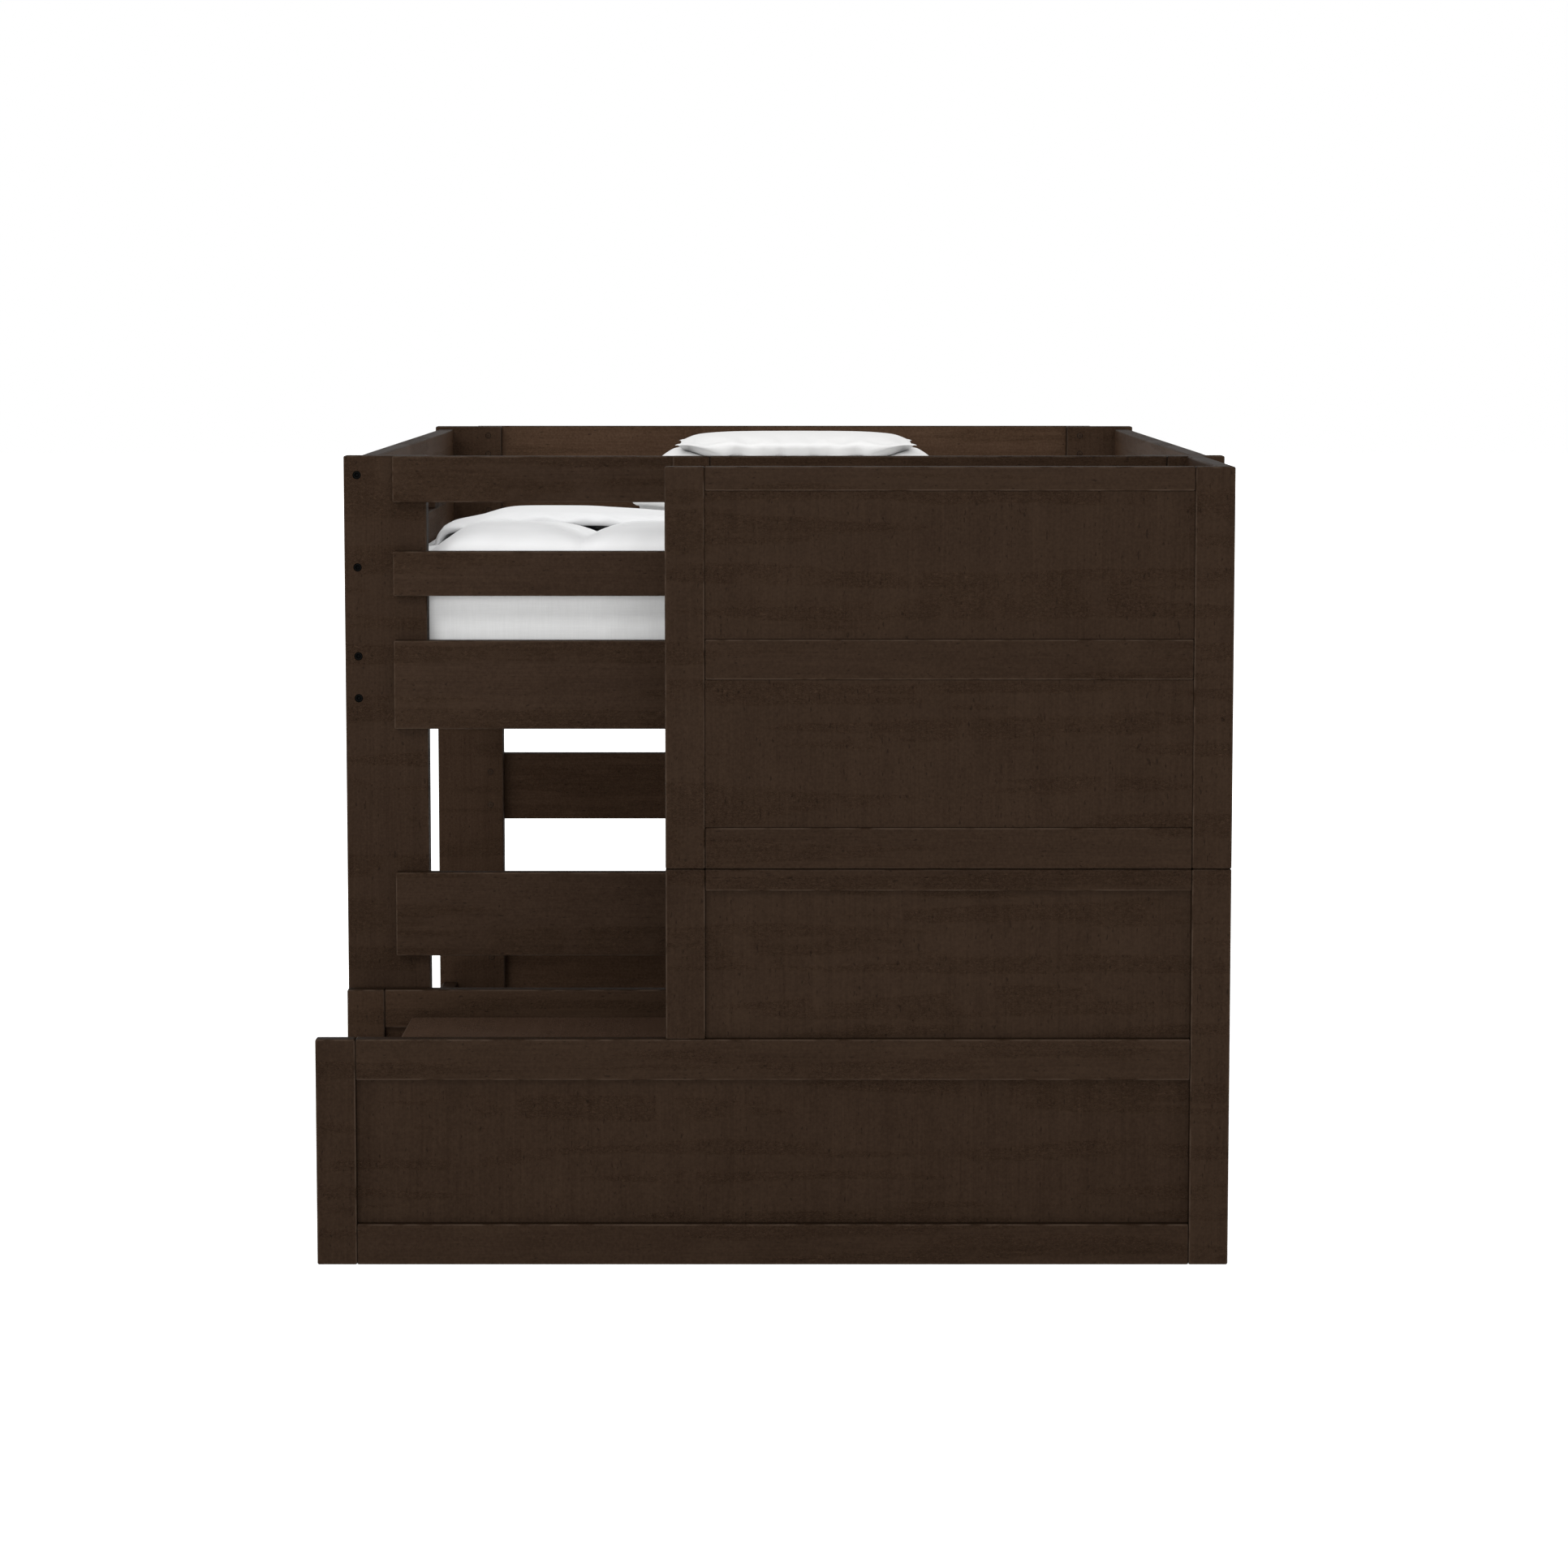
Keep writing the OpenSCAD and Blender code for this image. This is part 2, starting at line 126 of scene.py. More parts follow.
class Finish:
    """A material under construction, with a Principled shader at its end."""

    def __init__(self, name, **settings):
        self.material = bpy.data.materials.new(name)
        self.material.use_nodes = True
        self.tree = self.material.node_tree
        self.shader = self.tree.nodes["Principled BSDF"]
        for socket, value in settings.items():
            self.shader.inputs[socket.replace("_", " ")].default_value = value

    def node(self, kind, settings=None, sockets=None, output=0):
        """Adds a node. Its settings come first, then each socket's value or link."""
        made = self.tree.nodes.new(kind)
        for key, value in (settings or {}).items():
            setattr(made, key, value)
        for key, value in (sockets or {}).items():
            if isinstance(value, Value):
                self.tree.links.new(value.socket, made.inputs[key])
            else:
                made.inputs[key].default_value = value
        return Value(self, made.outputs[output])

    def attribute(self, name, output):
        return self.node("ShaderNodeAttribute", {"attribute_name": name}, output=output)

    def place(self):
        return self.node("ShaderNodeTexCoord", output="Object")

    def stretch(self, vector, scale):
        return self.node("ShaderNodeVectorMath", {"operation": "MULTIPLY"}, {0: vector, 1: scale})

    def noise(self, vector, scale=1.0, detail=2.0, roughness=0.5, distortion=0.0):
        return self.node("ShaderNodeTexNoise", {}, {
            "Vector": vector, "Scale": scale, "Detail": detail, "Roughness": roughness,
            "Distortion": distortion})

    def between(self, value, low, high):
        """0 where value is below low, 1 above high, smooth in between."""
        return self.node("ShaderNodeMapRange", {"interpolation_type": "SMOOTHSTEP"}, {
            "Value": value, "From Min": low, "From Max": high})

    def blend(self, factor, under, over):
        """One colour turning into another, as factor goes from 0 to 1."""
        under, over = (colour if isinstance(colour, Value) else (*colour, 1.0) for colour in (under, over))
        return self.node("ShaderNodeMix", {"data_type": "RGBA"}, {0: factor, 6: under, 7: over}, 2)

    def bump(self, height, distance, strength, under=None):
        sockets = {"Height": height, "Distance": distance, "Strength": strength}
        if under is not None:
            sockets["Normal"] = under
        return self.node("ShaderNodeBump", {}, sockets)

    def use(self, **links):
        for socket, value in links.items():
            self.tree.links.new(value.socket, self.shader.inputs[socket.replace("_", " ")])
        return self.material


def studio_floor():
    white = Finish("studio_white", Base_Color=(0.93, 0.93, 0.93, 1.0), Roughness=0.9, Specular_IOR_Level=0.0,
                   Emission_Color=(1.0, 1.0, 1.0, 1.0), Emission_Strength=0.6)
    corners = [(x * FLOOR_HALF, y * FLOOR_HALF, 0.0) for x, y in ((-1, -1), (1, -1), (1, 1), (-1, 1))]
    mesh = mesh_of("studio_floor", corners, [(0, 1, 2, 3)])
    mesh.materials.append(white.material)
    in_scene("studio_floor", mesh)


def soft_box(name, place, width, depth, watts):
    lamp = bpy.data.lights.new(name, "AREA")
    lamp.shape = "RECTANGLE"
    lamp.size = width
    lamp.size_y = depth
    lamp.energy = watts
    lamp_object = in_scene(name, lamp)
    lamp_object.location = place
    lamp_object.rotation_euler = (LAMPS_AIM - Vector(place)).to_track_quat("-Z", "Y").to_euler()


studio_floor()
soft_box("left_box", (-3.2, -9.5, 6.0), width=2.6, depth=2.0, watts=330.0)
soft_box("front_wall", (0.0, -24.0, 3.0), width=9.0, depth=5.0, watts=2700.0)

world = bpy.data.worlds.new("studio_surround")
world.use_nodes = True
surround = world.node_tree.nodes["Background"]
surround.inputs["Color"].default_value = (1.0, 1.0, 1.0, 1.0)
surround.inputs["Strength"].default_value = 1.0
bpy.context.scene.world = world
bpy.context.scene.view_settings.view_transform = "Standard"

# ---- Posts ----
# Four posts sawn from solid maple, planed, with their long edges eased by hand, then stained a
# dark espresso brown and lacquered to a low sheen. Bed bolts pass through them along the bed.

EASE = 0.0028
EASE_STEPS = 3
SHORTEST_EASED_EDGE = 0.012
LEAST_CORNER = 1.0
FLAT = 0.999
TOUCHING = 1e-5


def islands(mesh_in):
    """The separate solids of a bmesh, each as a list of its vertices."""
    unseen = set(mesh_in.verts)
    groups = []
    while unseen:
        start = unseen.pop()
        group, waiting = [start], [start]
        while waiting:
            for edge in waiting.pop().link_edges:
                for vert in edge.verts:
                    if vert in unseen:
                        unseen.remove(vert)
                        group.append(vert)
                        waiting.append(vert)
        groups.append(sorted(group, key=lambda v: tuple(round(c, 6) for c in v.co)))
    groups.sort(key=lambda g: tuple(round(c, 6) for c in g[0].co))
    return groups


def box_of(points):
    low = Vector([min(p[i] for p in points) for i in range(3)])
    high = Vector([max(p[i] for p in points) for i in range(3)])
    return low, high


def surface_of(mesh):
    return BVHTree.FromPolygons([v.co for v in mesh.vertices], [tuple(p.vertices) for p in mesh.polygons])


def times(colour, share):
    """A colour made darker or paler."""
    return tuple(c * share for c in colour)


RUBBED_AND_LIT = (0.052, 0.036, 0.026)
LIGHTER_FACE_GAIN = 2.4
IN_PITS, SEAM_SHADE, CURL_HIGHLIGHT = 0.3, 0.2, 1.7


def espresso_stain(name, deep, light, row_spacing=(1.6, 1.6, 24.0)):
    """Dark stain on a planed board: faint straight grain, small pits, and rows of torn curl across it, with
    painted light as well: paler faces where more light falls, painted highlights on eased edges and raised
    curl, and painted shade in the joints.
    """
    stain = Finish(name, Specular_IOR_Level=0.02)
    grain = stain.attribute("grain", "Vector")
    worn = stain.attribute("worn", "Fac")
    seam = stain.attribute("seam", "Fac")
    thin = stain.attribute("thin", "Fac")
    tone = stain.attribute("tone", "Fac")
    place = stain.place()
    fibre = stain.noise(stain.stretch(grain, (9.0, 300.0, 300.0)), detail=3.0, roughness=0.6)
    streak = stain.noise(stain.stretch(grain, (1.7, 46.0, 46.0)), detail=4.0, roughness=0.55, distortion=0.25)
    cloud = stain.noise(place, scale=11.0, detail=3.0)
    mottle = stain.noise(place, scale=230.0, detail=3.0, roughness=0.65)
    rows = stain.between(stain.noise(stain.stretch(place, row_spacing)), 0.5, 0.56)
    patchy = stain.between(stain.noise(place, scale=13.0), 0.3, 0.5)
    curl = stain.noise(stain.stretch(place, (180.0, 180.0, 340.0)), detail=1.5, roughness=0.5, distortion=1.6)
    torn = rows * patchy * stain.between(curl, 0.54, 0.66)
    raised = rows * patchy * stain.between(curl, 0.46, 0.34)
    pits = stain.between(stain.noise(stain.stretch(grain, (90.0, 240.0, 240.0)), detail=1.0), 0.68, 0.76)
    depth = fibre * 0.25 + streak * 0.16 + cloud * 0.14 + mottle * 0.45 + tone
    shade = stain.between(depth, 0.27, 0.73)
    # Painted light: the marked faces take a paler copy of the stain, as if more light fell on them.
    lit_wood = stain.blend(shade, times(deep, LIGHTER_FACE_GAIN), times(light, LIGHTER_FACE_GAIN))
    wood = stain.blend(thin, stain.blend(shade, deep, light), lit_wood)
    wood = stain.blend(torn * 0.05, wood, times(deep, IN_PITS))
    # Painted highlight: the raised curl is painted paler, as if it caught the light.
    wood = stain.blend(raised * 0.26, wood, times(light, CURL_HIGHLIGHT))
    wood = stain.blend(pits * 0.5, wood, times(deep, IN_PITS))
    # Eased edges clear of joints are painted paler in patches: partly stain rubbed through, partly a painted
    # highlight where the rounds catch light.
    rub_and_highlight = worn * stain.between(stain.noise(stain.stretch(grain, (30.0, 60.0, 60.0)), detail=3.0), 0.3, 0.6)
    wood = stain.blend(rub_and_highlight * 0.5, wood, RUBBED_AND_LIT)
    # Eased edges close to another part are darkened: partly stain pooled in the joint, partly painted shade.
    wood = stain.blend(seam * 0.9, wood, times(deep, SEAM_SHADE))
    rough = 0.5 + fibre * 0.1 + torn * 0.2
    coarse = stain.bump(cloud * 0.3 + raised - torn, distance=0.0007, strength=0.8)
    fine = stain.bump(fibre * 0.4 + mottle * 0.5 - pits, distance=0.0003, strength=0.6, under=coarse)
    return stain.use(Base_Color=wood, Roughness=rough, Normal=fine)


SEAM_REACH = 0.0022
BOARD_END = EASE * 0.6
PROBES_ALONG = (0.1, 0.3, 0.5, 0.7, 0.9)
SURFACES = {node: (*box_of([v.co for v in solid.data.vertices]), surface_of(solid.data))
            for node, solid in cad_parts.items()}


def crowding(point, name):
    """1 where a point touches another node, falling to 0 at the seam's reach."""
    nearest = SEAM_REACH
    for node, (low, high, surface) in SURFACES.items():
        away = any(point[a] < low[a] - SEAM_REACH or point[a] > high[a] + SEAM_REACH for a in range(3))
        if away or node == name:
            continue
        distance = surface.find_nearest(point, nearest)[3]
        if distance is not None:
            nearest = min(nearest, distance)
    return 1.0 - nearest / SEAM_REACH


def joint_shade_at(point, name, low, high, length_axis):
    """How deep in a joint an eased edge lies, at a board's end there or else all along it: the weight of the
    painted shade in the joints.
    """
    if min(point[length_axis] - low[length_axis], high[length_axis] - point[length_axis]) < BOARD_END:
        return crowding(point, name)
    depth = 1.0
    for share in PROBES_ALONG:
        probe = point.copy()
        probe[length_axis] = low[length_axis] + (high[length_axis] - low[length_axis]) * share
        depth = min(depth, crowding(probe, name))
    return depth


GRAIN_SHIFT = (9.0, 2.0, 2.0)
TONE_SPREAD = 0.035


def write_grain(mesh, name, along=None, thin=None):
    """Gives each board its own length, width and depth in metres, and its own bit of the tree.

    The last argument names a face by its axis and side, and how much paler than the others it is painted:
    painted light, for the light that falls on that face.
    """
    face, side, share = thin or (0, 1, 0.0)
    work = bmesh.new()
    work.from_mesh(mesh)
    place = {}
    for index, group in enumerate(islands(work)):
        low, high = box_of([v.co for v in group])
        size = high - low
        axes = sorted(range(3), key=lambda a: -size[a])
        if along is not None:
            axes.remove(along)
            axes.insert(0, along)
        draw = random.Random(f"{name} {index}")
        shift = Vector([draw.uniform(-most, most) for most in GRAIN_SHIFT])
        tone = draw.uniform(-TONE_SPREAD, TONE_SPREAD)
        level = low[face] if side < 0 else high[face]
        for vert in group:
            inset = sorted(min(vert.co[a] - low[a], high[a] - vert.co[a]) for a in range(3))
            on_round = inset[0] > TOUCHING and inset[1] < EASE
            board = Vector([vert.co[a] - low[a] for a in axes]) + shift
            seam = joint_shade_at(vert.co, name, low, high, axes[0]) if on_round else 0.0
            # An eased edge clear of any joint gets rubbed stain and a painted highlight.
            worn = 1.0 - seam if on_round else 0.0
            # Painted light: the named face is marked to be painted paler.
            lit_share = share if abs(vert.co[face] - level) < TOUCHING else 0.0
            place[vert.index] = (board, worn, tone, seam, lit_share)
    work.free()
    order = sorted(place)
    boards = mesh.attributes.new("grain", "FLOAT_VECTOR", "POINT")
    boards.data.foreach_set("vector", [c for i in order for c in place[i][0]])
    for column, label in enumerate(("worn", "tone", "seam", "thin"), 1):
        marks = mesh.attributes.new(label, "FLOAT", "POINT")
        marks.data.foreach_set("value", [place[i][column] for i in order])


def round_off(mesh):
    """Shades the eased and turned faces smooth and leaves the square ones flat."""
    for polygon in mesh.polygons:
        polygon.use_smooth = max(abs(c) for c in polygon.normal) < FLAT


def timber(node, along=None, ease=EASE, material=None, thin=None):
    """A board, or a set of boards, with eased edges, in the place of the plain ones."""
    work = bmesh.new()
    work.from_mesh(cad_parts[node].data)
    bmesh.ops.remove_doubles(work, verts=work.verts, dist=TOUCHING)
    bmesh.ops.dissolve_limit(work, angle_limit=math.radians(1.0), verts=work.verts, edges=work.edges)
    sharp = [e for e in work.edges if len(e.link_faces) == 2 and e.calc_face_angle() > LEAST_CORNER
             and e.calc_length() > SHORTEST_EASED_EDGE]
    bmesh.ops.bevel(work, geom=sharp, offset=ease, segments=EASE_STEPS, profile=0.5, affect="EDGES",
                    clamp_overlap=True)
    mesh = bpy.data.meshes.new("timber_" + node)
    work.to_mesh(mesh)
    work.free()
    write_grain(mesh, node, along, thin)
    mesh.materials.append(material or ESPRESSO)
    round_off(mesh)
    board = in_scene("timber_" + node, mesh)
    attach(board, "root")
    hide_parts(node)


ESPRESSO = espresso_stain("espresso_stain", deep=(0.0138, 0.0073, 0.0040), light=(0.0271, 0.0160, 0.0098))
ACROSS, LENGTHWISE, UPWARD = 0, 1, 2

for end, inwards in (("foot", 1), ("head", -1)):
    for side in ("left", "right"):
        # Painted light: each post's face towards the berths is painted a little paler.
        timber(f"{end}_post_{side}", UPWARD, thin=(LENGTHWISE, inwards, 0.3))

# ---- End rails ----
# Five rails across each end, on the outside of the posts, screwed on from the berth side so that
# no fixing shows on the face. The sides towards the berths are painted paler, as painted light.

for end, inwards in (("foot", 1), ("head", -1)):
    for rail, share in (("top", 1.0), ("guard", 0.9), ("berth", 0.6), ("middle", 0.6), ("floor", 0.6)):
        timber(f"{end}_rail_{rail}", ACROSS, thin=(LENGTHWISE, inwards, share))

# ---- Side rails and spacers ----
# On each long side two guard rails, the berth rail and the floor rail run between the posts, and
# short blocks doweled between the guard rails stop them from bowing.

# Painted light: the rails' inner faces are painted paler, the guard rails' most.
for side, inwards in (("left", 1), ("right", -1)):
    for rail, share in (("guard_top", 1.0), ("guard_second", 1.0), ("berth_rail", 0.6), ("floor_rail", 0.6)):
        timber(f"{side}_{rail}", LENGTHWISE, thin=(ACROSS, inwards, share))
timber("guard_spacers", UPWARD)

# ---- Bearers and slats ----
# Ledgers screwed along the berth rails, a beam down the middle, and softwood slats laid across
# them, thinly stained, each held by a countersunk screw at both ends.

SLAT_EASE = 0.0022
SLAT_STAIN = espresso_stain("slat_stain", deep=(0.031, 0.0180, 0.0110), light=(0.066, 0.042, 0.028),
                            row_spacing=(14.0, 2.0, 2.0))
timber("upper_bearers", LENGTHWISE)
timber("lower_bearers", LENGTHWISE)
for deck in ("upper_slats", "lower_slats"):
    timber(deck, ACROSS, ease=SLAT_EASE, material=SLAT_STAIN)

# ---- Step unit frames ----
# Stiles and rails are joined with stub tenons, so a fine groove shows at each joint where the
# eased edges meet. Thin veneered panels with upright grain sit in grooves behind their faces.

PANEL_EASE = 0.0006
# Painted shade: the unit's stain is a darker copy of the bed's, to offset the stronger light that reaches the
# unit.
UNIT_STAIN_SHADED = espresso_stain("unit_stain", deep=(0.0104, 0.0054, 0.0029), light=(0.0205, 0.0119, 0.0071))
# Painted light: the unit's frames and risers are painted paler on one face each.
UNIT_SIDE_LIGHTER = (ACROSS, -1, 0.8)


def framing(names, along, thin, ease=EASE):
    for name in names:
        timber(name, along, ease, UNIT_STAIN_SHADED, thin=thin)


for wall, stiles, rails, frame_lighter in (
        ("outer", ("outer_stile_left", "outer_stile_right", "outer_stile_short"),
         ("outer_rail_bottom", "outer_rail_middle", "outer_rail_top"), (LENGTHWISE, 1, 0.8)),
        ("inner", ("inner_stiles",), ("inner_rails",), (LENGTHWISE, -1, 0.35))):
    framing(stiles, UPWARD, frame_lighter)
    framing(rails, ACROSS, frame_lighter)
    framing((f"{wall}_panels",), UPWARD, frame_lighter, PANEL_EASE)
    framing((f"{wall}_guard_stiles",), UPWARD, frame_lighter)
    framing((f"{wall}_guard_rails",), ACROSS, frame_lighter)
    framing((f"{wall}_guard_panels",), UPWARD, frame_lighter, PANEL_EASE)
framing(("side_stiles",), UPWARD, UNIT_SIDE_LIGHTER)
framing(("side_rails",), LENGTHWISE, UNIT_SIDE_LIGHTER)
framing(("side_panels",), UPWARD, UNIT_SIDE_LIGHTER, PANEL_EASE)

# ---- Treads, risers and cleats ----
# Three treads with a rounded nosing, in a stain painted paler than the frames' as a painted sheen on their
# tops, carried by upright risers and by cleats behind them.

NOSING, RISER_EASE = 0.004, 0.0015
TREAD_STAIN_SHEEN = espresso_stain("tread_stain", deep=(0.0370, 0.0210, 0.0130), light=(0.0680, 0.0410, 0.0275),
                             row_spacing=(17.0, 2.0, 2.0))
for step in ("low", "middle", "top"):
    timber(f"tread_{step}", LENGTHWISE, ease=NOSING, material=TREAD_STAIN_SHEEN)
framing(("risers",), LENGTHWISE, UNIT_SIDE_LIGHTER, RISER_EASE)
timber("tread_cleats", LENGTHWISE, material=UNIT_STAIN_SHADED)

# ---- Bolts, nuts, screws and plugs ----
# Black socket-head bolts run through the posts into barrel nuts in the side rails. Screws hold
# the end rails under turned wooden plugs, and small countersunk ones hold the slats.

ROUND, HEX, CROSS, SLOT = "round", "hex", "cross", "slot"


def outline(shape, angle):
    """How far a driver recess or a plain rim reaches at an angle, as a share of its radius."""
    if shape == HEX:
        sixth = math.pi / 3.0
        return math.cos(sixth / 2.0) / math.cos(angle % sixth - sixth / 2.0)
    if shape == CROSS:
        return 0.3 + 0.7 * abs(math.cos(2.0 * angle)) ** 6
    if shape == SLOT:
        return 0.16 + 0.84 * abs(math.cos(angle)) ** 14
    return 1.0


def turned(name, rings, sides=24):
    """A solid turned about Y from rings of (radius, y, outline), closed at both ends."""
    rows = []
    for radius, y, shape in rings:
        angles = [2.0 * math.pi * k / sides for k in range(sides)]
        rows.append([(radius * outline(shape, a) * math.cos(a), y, radius * outline(shape, a) * math.sin(a))
                     for a in angles])
    points = [point for row in rows for point in row]
    faces = []
    for row in range(len(rows) - 1):
        for k in range(sides):
            following = (k + 1) % sides
            faces.append((row * sides + k, row * sides + following,
                          (row + 1) * sides + following, (row + 1) * sides + k))
    faces.append(tuple(reversed(range(sides))))
    faces.append(tuple((len(rows) - 1) * sides + k for k in range(sides)))
    mesh = mesh_of(name, points, faces)
    work = bmesh.new()
    work.from_mesh(mesh)
    bmesh.ops.recalc_face_normals(work, faces=work.faces)
    work.to_mesh(mesh)
    work.free()
    return mesh


def setting_out_tree():
    """Geometry Nodes that set a part at every point, turned by the point's own angles."""
    tree = bpy.data.node_groups.new("set_at_points", "GeometryNodeTree")
    for name, kind in (("Points", "Geometry"), ("Part", "Object"), ("Finish", "Material"), ("Size", "Float")):
        tree.interface.new_socket(name, in_out="INPUT", socket_type="NodeSocket" + kind)
    tree.interface.new_socket("Parts", in_out="OUTPUT", socket_type="NodeSocketGeometry")
    given = tree.nodes.new("NodeGroupInput")
    part = tree.nodes.new("GeometryNodeObjectInfo")
    angles = tree.nodes.new("GeometryNodeInputNamedAttribute")
    angles.data_type = "FLOAT_VECTOR"
    angles.inputs["Name"].default_value = "turn"
    rotation = tree.nodes.new("FunctionNodeEulerToRotation")
    place = tree.nodes.new("GeometryNodeInstanceOnPoints")
    realize = tree.nodes.new("GeometryNodeRealizeInstances")
    finish = tree.nodes.new("GeometryNodeSetMaterial")
    made = tree.nodes.new("NodeGroupOutput")
    for source, target in (
            (given.outputs["Points"], place.inputs["Points"]),
            (given.outputs["Part"], part.inputs["Object"]),
            (part.outputs["Geometry"], place.inputs["Instance"]),
            (angles.outputs["Attribute"], rotation.inputs[0]),
            (rotation.outputs[0], place.inputs["Rotation"]),
            (given.outputs["Size"], place.inputs["Scale"]),
            (place.outputs["Instances"], realize.inputs["Geometry"]),
            (realize.outputs["Geometry"], finish.inputs["Geometry"]),
            (given.outputs["Finish"], finish.inputs["Material"]),
            (finish.outputs["Geometry"], made.inputs["Parts"])):
        tree.links.new(source, target)
    return tree


SETTING_OUT = setting_out_tree()


def plain_from(carrier):
    """The evaluated result of an object's modifiers, as a plain mesh object at the origin."""
    depsgraph = bpy.context.evaluated_depsgraph_get()
    mesh = bpy.data.meshes.new_from_object(carrier.evaluated_get(depsgraph))
    name = carrier.name
    bpy.data.objects.remove(carrier)
    return in_scene(name, mesh)


def set_out(name, part_mesh, places, material, replaces=None):
    """Sets one copy of a part at each (place, turn), as one plain piece that rides with the bed."""
    part = bpy.data.objects.new(name + "_part", part_mesh)
    points = mesh_of(name + "_points", [place for place, _ in places], [])
    turns = points.attributes.new("turn", "FLOAT_VECTOR", "POINT")
    turns.data.foreach_set("vector", [angle for _, turn in places for angle in turn])
    carrier = in_scene(name, points)
    modifier = carrier.modifiers.new("set_out", "NODES")
    modifier.node_group = SETTING_OUT
    sockets = SETTING_OUT.interface.items_tree
    inputs = {item.name: item.identifier for item in sockets if item.in_out == "INPUT"}
    modifier[inputs["Part"]] = part
    modifier[inputs["Finish"]] = material
    modifier[inputs["Size"]] = 1.0
    piece = plain_from(carrier)
    bpy.data.objects.remove(part)
    round_off(piece.data)
    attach(piece, "root")
    if replaces:
        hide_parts(replaces)
    return piece


def solids_of(node):
    """The box of each separate solid in a CAD node."""
    work = bmesh.new()
    work.from_mesh(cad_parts[node].data)
    bmesh.ops.remove_doubles(work, verts=work.verts, dist=TOUCHING)
    boxes = [box_of([v.co for v in group]) for group in islands(work)]
    work.free()
    return boxes


def metal(name, colour, roughness, speckle, metallic=1.0, shine=0.5):
    """Plated or blackened steel: fine marks all over, and a few dull spots."""
    steel = Finish(name, Metallic=metallic, Specular_IOR_Level=shine)
    place = steel.place()
    fine = steel.noise(place, scale=900.0, detail=3.0, roughness=0.6)
    spots = steel.between(steel.noise(place, scale=260.0), 0.52, 0.66)
    shade = steel.blend(spots * speckle, colour, times(colour, 0.55))
    return steel.use(Base_Color=shade, Roughness=roughness + fine * 0.16 + spots * 0.1,
                     Normal=steel.bump(fine, distance=0.00012, strength=0.5))


BLACK_STEEL = metal("black_oxide_steel", (0.0012, 0.0012, 0.0012), roughness=0.5, speckle=0.5,
                    metallic=0.0, shine=0.03)
ZINC_STEEL = metal("dull_zinc_steel", (0.42, 0.42, 0.41), roughness=0.32, speckle=0.6)
berth_mid_y = sum(corner[1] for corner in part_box("mattress")) / 2.0
TOWARDS_HEAD, TOWARDS_FOOT = (0.0, 0.0, 0.0), (0.0, 0.0, math.pi)


def along_bed(node):
    """Where each round piece of a node starts, on its axis, at the end away from the berth."""
    places = []
    for low, high in solids_of(node):
        middle = (low + high) / 2.0
        at_foot = middle.y < berth_mid_y
        place = (middle.x, low.y if at_foot else high.y, middle.z)
        places.append((place, TOWARDS_HEAD if at_foot else TOWARDS_FOOT))
    return places


low, high = solids_of("bed_bolts")[0]
bolt_length, head_radius = high.y - low.y, (high.x - low.x) / 2.0
SHANK_RADIUS, SOCKET_RADIUS, HEAD_DEPTH = 0.004, 0.004, 0.008
THREAD_LENGTH, THREAD_PITCH, THREAD_DEPTH, THREAD_LEAD = 0.034, 0.00125, 0.0005, 0.0015
bolt_rings = [
    (SOCKET_RADIUS * 0.2, 0.0044, HEX), (SOCKET_RADIUS, 0.0040, HEX), (SOCKET_RADIUS, 0.0006, HEX),
    (SOCKET_RADIUS * 1.12, 0.0, ROUND), (head_radius - 0.0012, 0.0, ROUND),
    (head_radius - 0.0003, 0.0004, ROUND), (head_radius, 0.0012, ROUND),
    (head_radius, HEAD_DEPTH - 0.0002, ROUND), (head_radius - 0.0004, HEAD_DEPTH, ROUND),
    (SHANK_RADIUS, HEAD_DEPTH, ROUND)]
thread_start = bolt_length - THREAD_LENGTH
bolt_rings.append((SHANK_RADIUS, thread_start, ROUND))
for turn in range(int((bolt_length - THREAD_LEAD - thread_start) / THREAD_PITCH)):
    bolt_rings.append((SHANK_RADIUS - THREAD_DEPTH, thread_start + (turn + 0.5) * THREAD_PITCH, ROUND))
    bolt_rings.append((SHANK_RADIUS, thread_start + (turn + 1.0) * THREAD_PITCH, ROUND))
bolt_rings.append((SHANK_RADIUS * 0.75, bolt_length, ROUND))
set_out("bed_bolts_turned", turned("bed_bolt", bolt_rings), along_bed("bed_bolts"),
        BLACK_STEEL, "bed_bolts")

low, high = solids_of("screw_plugs")[0]
plug_radius, plug_length = (high.x - low.x) / 2.0, high.y - low.y
PLUG_CROWN, PLUG_EDGE = 0.0004, 0.0006
plug_rings = [(plug_radius * share, plug_length + PLUG_CROWN * (1.0 - share ** 2), ROUND)
              for share in (0.3, 0.65)]
plug_rings += [(plug_radius - PLUG_EDGE, plug_length, ROUND), (plug_radius, plug_length - PLUG_EDGE, ROUND),
               (plug_radius, 0.0, ROUND)]
plugs = set_out("screw_plugs_turned", turned("screw_plug", plug_rings), along_bed("screw_plugs"),
                ESPRESSO, "screw_plugs")
write_grain(plugs.data, "screw_plugs")

nut_places = []
for low, high in solids_of("barrel_nuts"):
    middle = (low + high) / 2.0
    on_left = middle.x < 0.0
    nut_places.append(((high.x if on_left else low.x, middle.y, middle.z),
                       (0.0, 0.0, math.pi / 2.0 if on_left else -math.pi / 2.0)))
nut_length, nut_radius = high.x - low.x, (high.z - low.z) / 2.0
nut_rings = [(0.0052, 0.0022, SLOT), (0.0056, 0.0002, SLOT), (0.0060, 0.0, ROUND),
             (nut_radius - 0.0004, 0.0, ROUND), (nut_radius, 0.0005, ROUND),
             (nut_radius, nut_length - 0.0005, ROUND), (nut_radius - 0.0005, nut_length, ROUND)]
set_out("barrel_nuts_turned", turned("barrel_nut", nut_rings, 32), nut_places, ZINC_STEEL,
        "barrel_nuts")

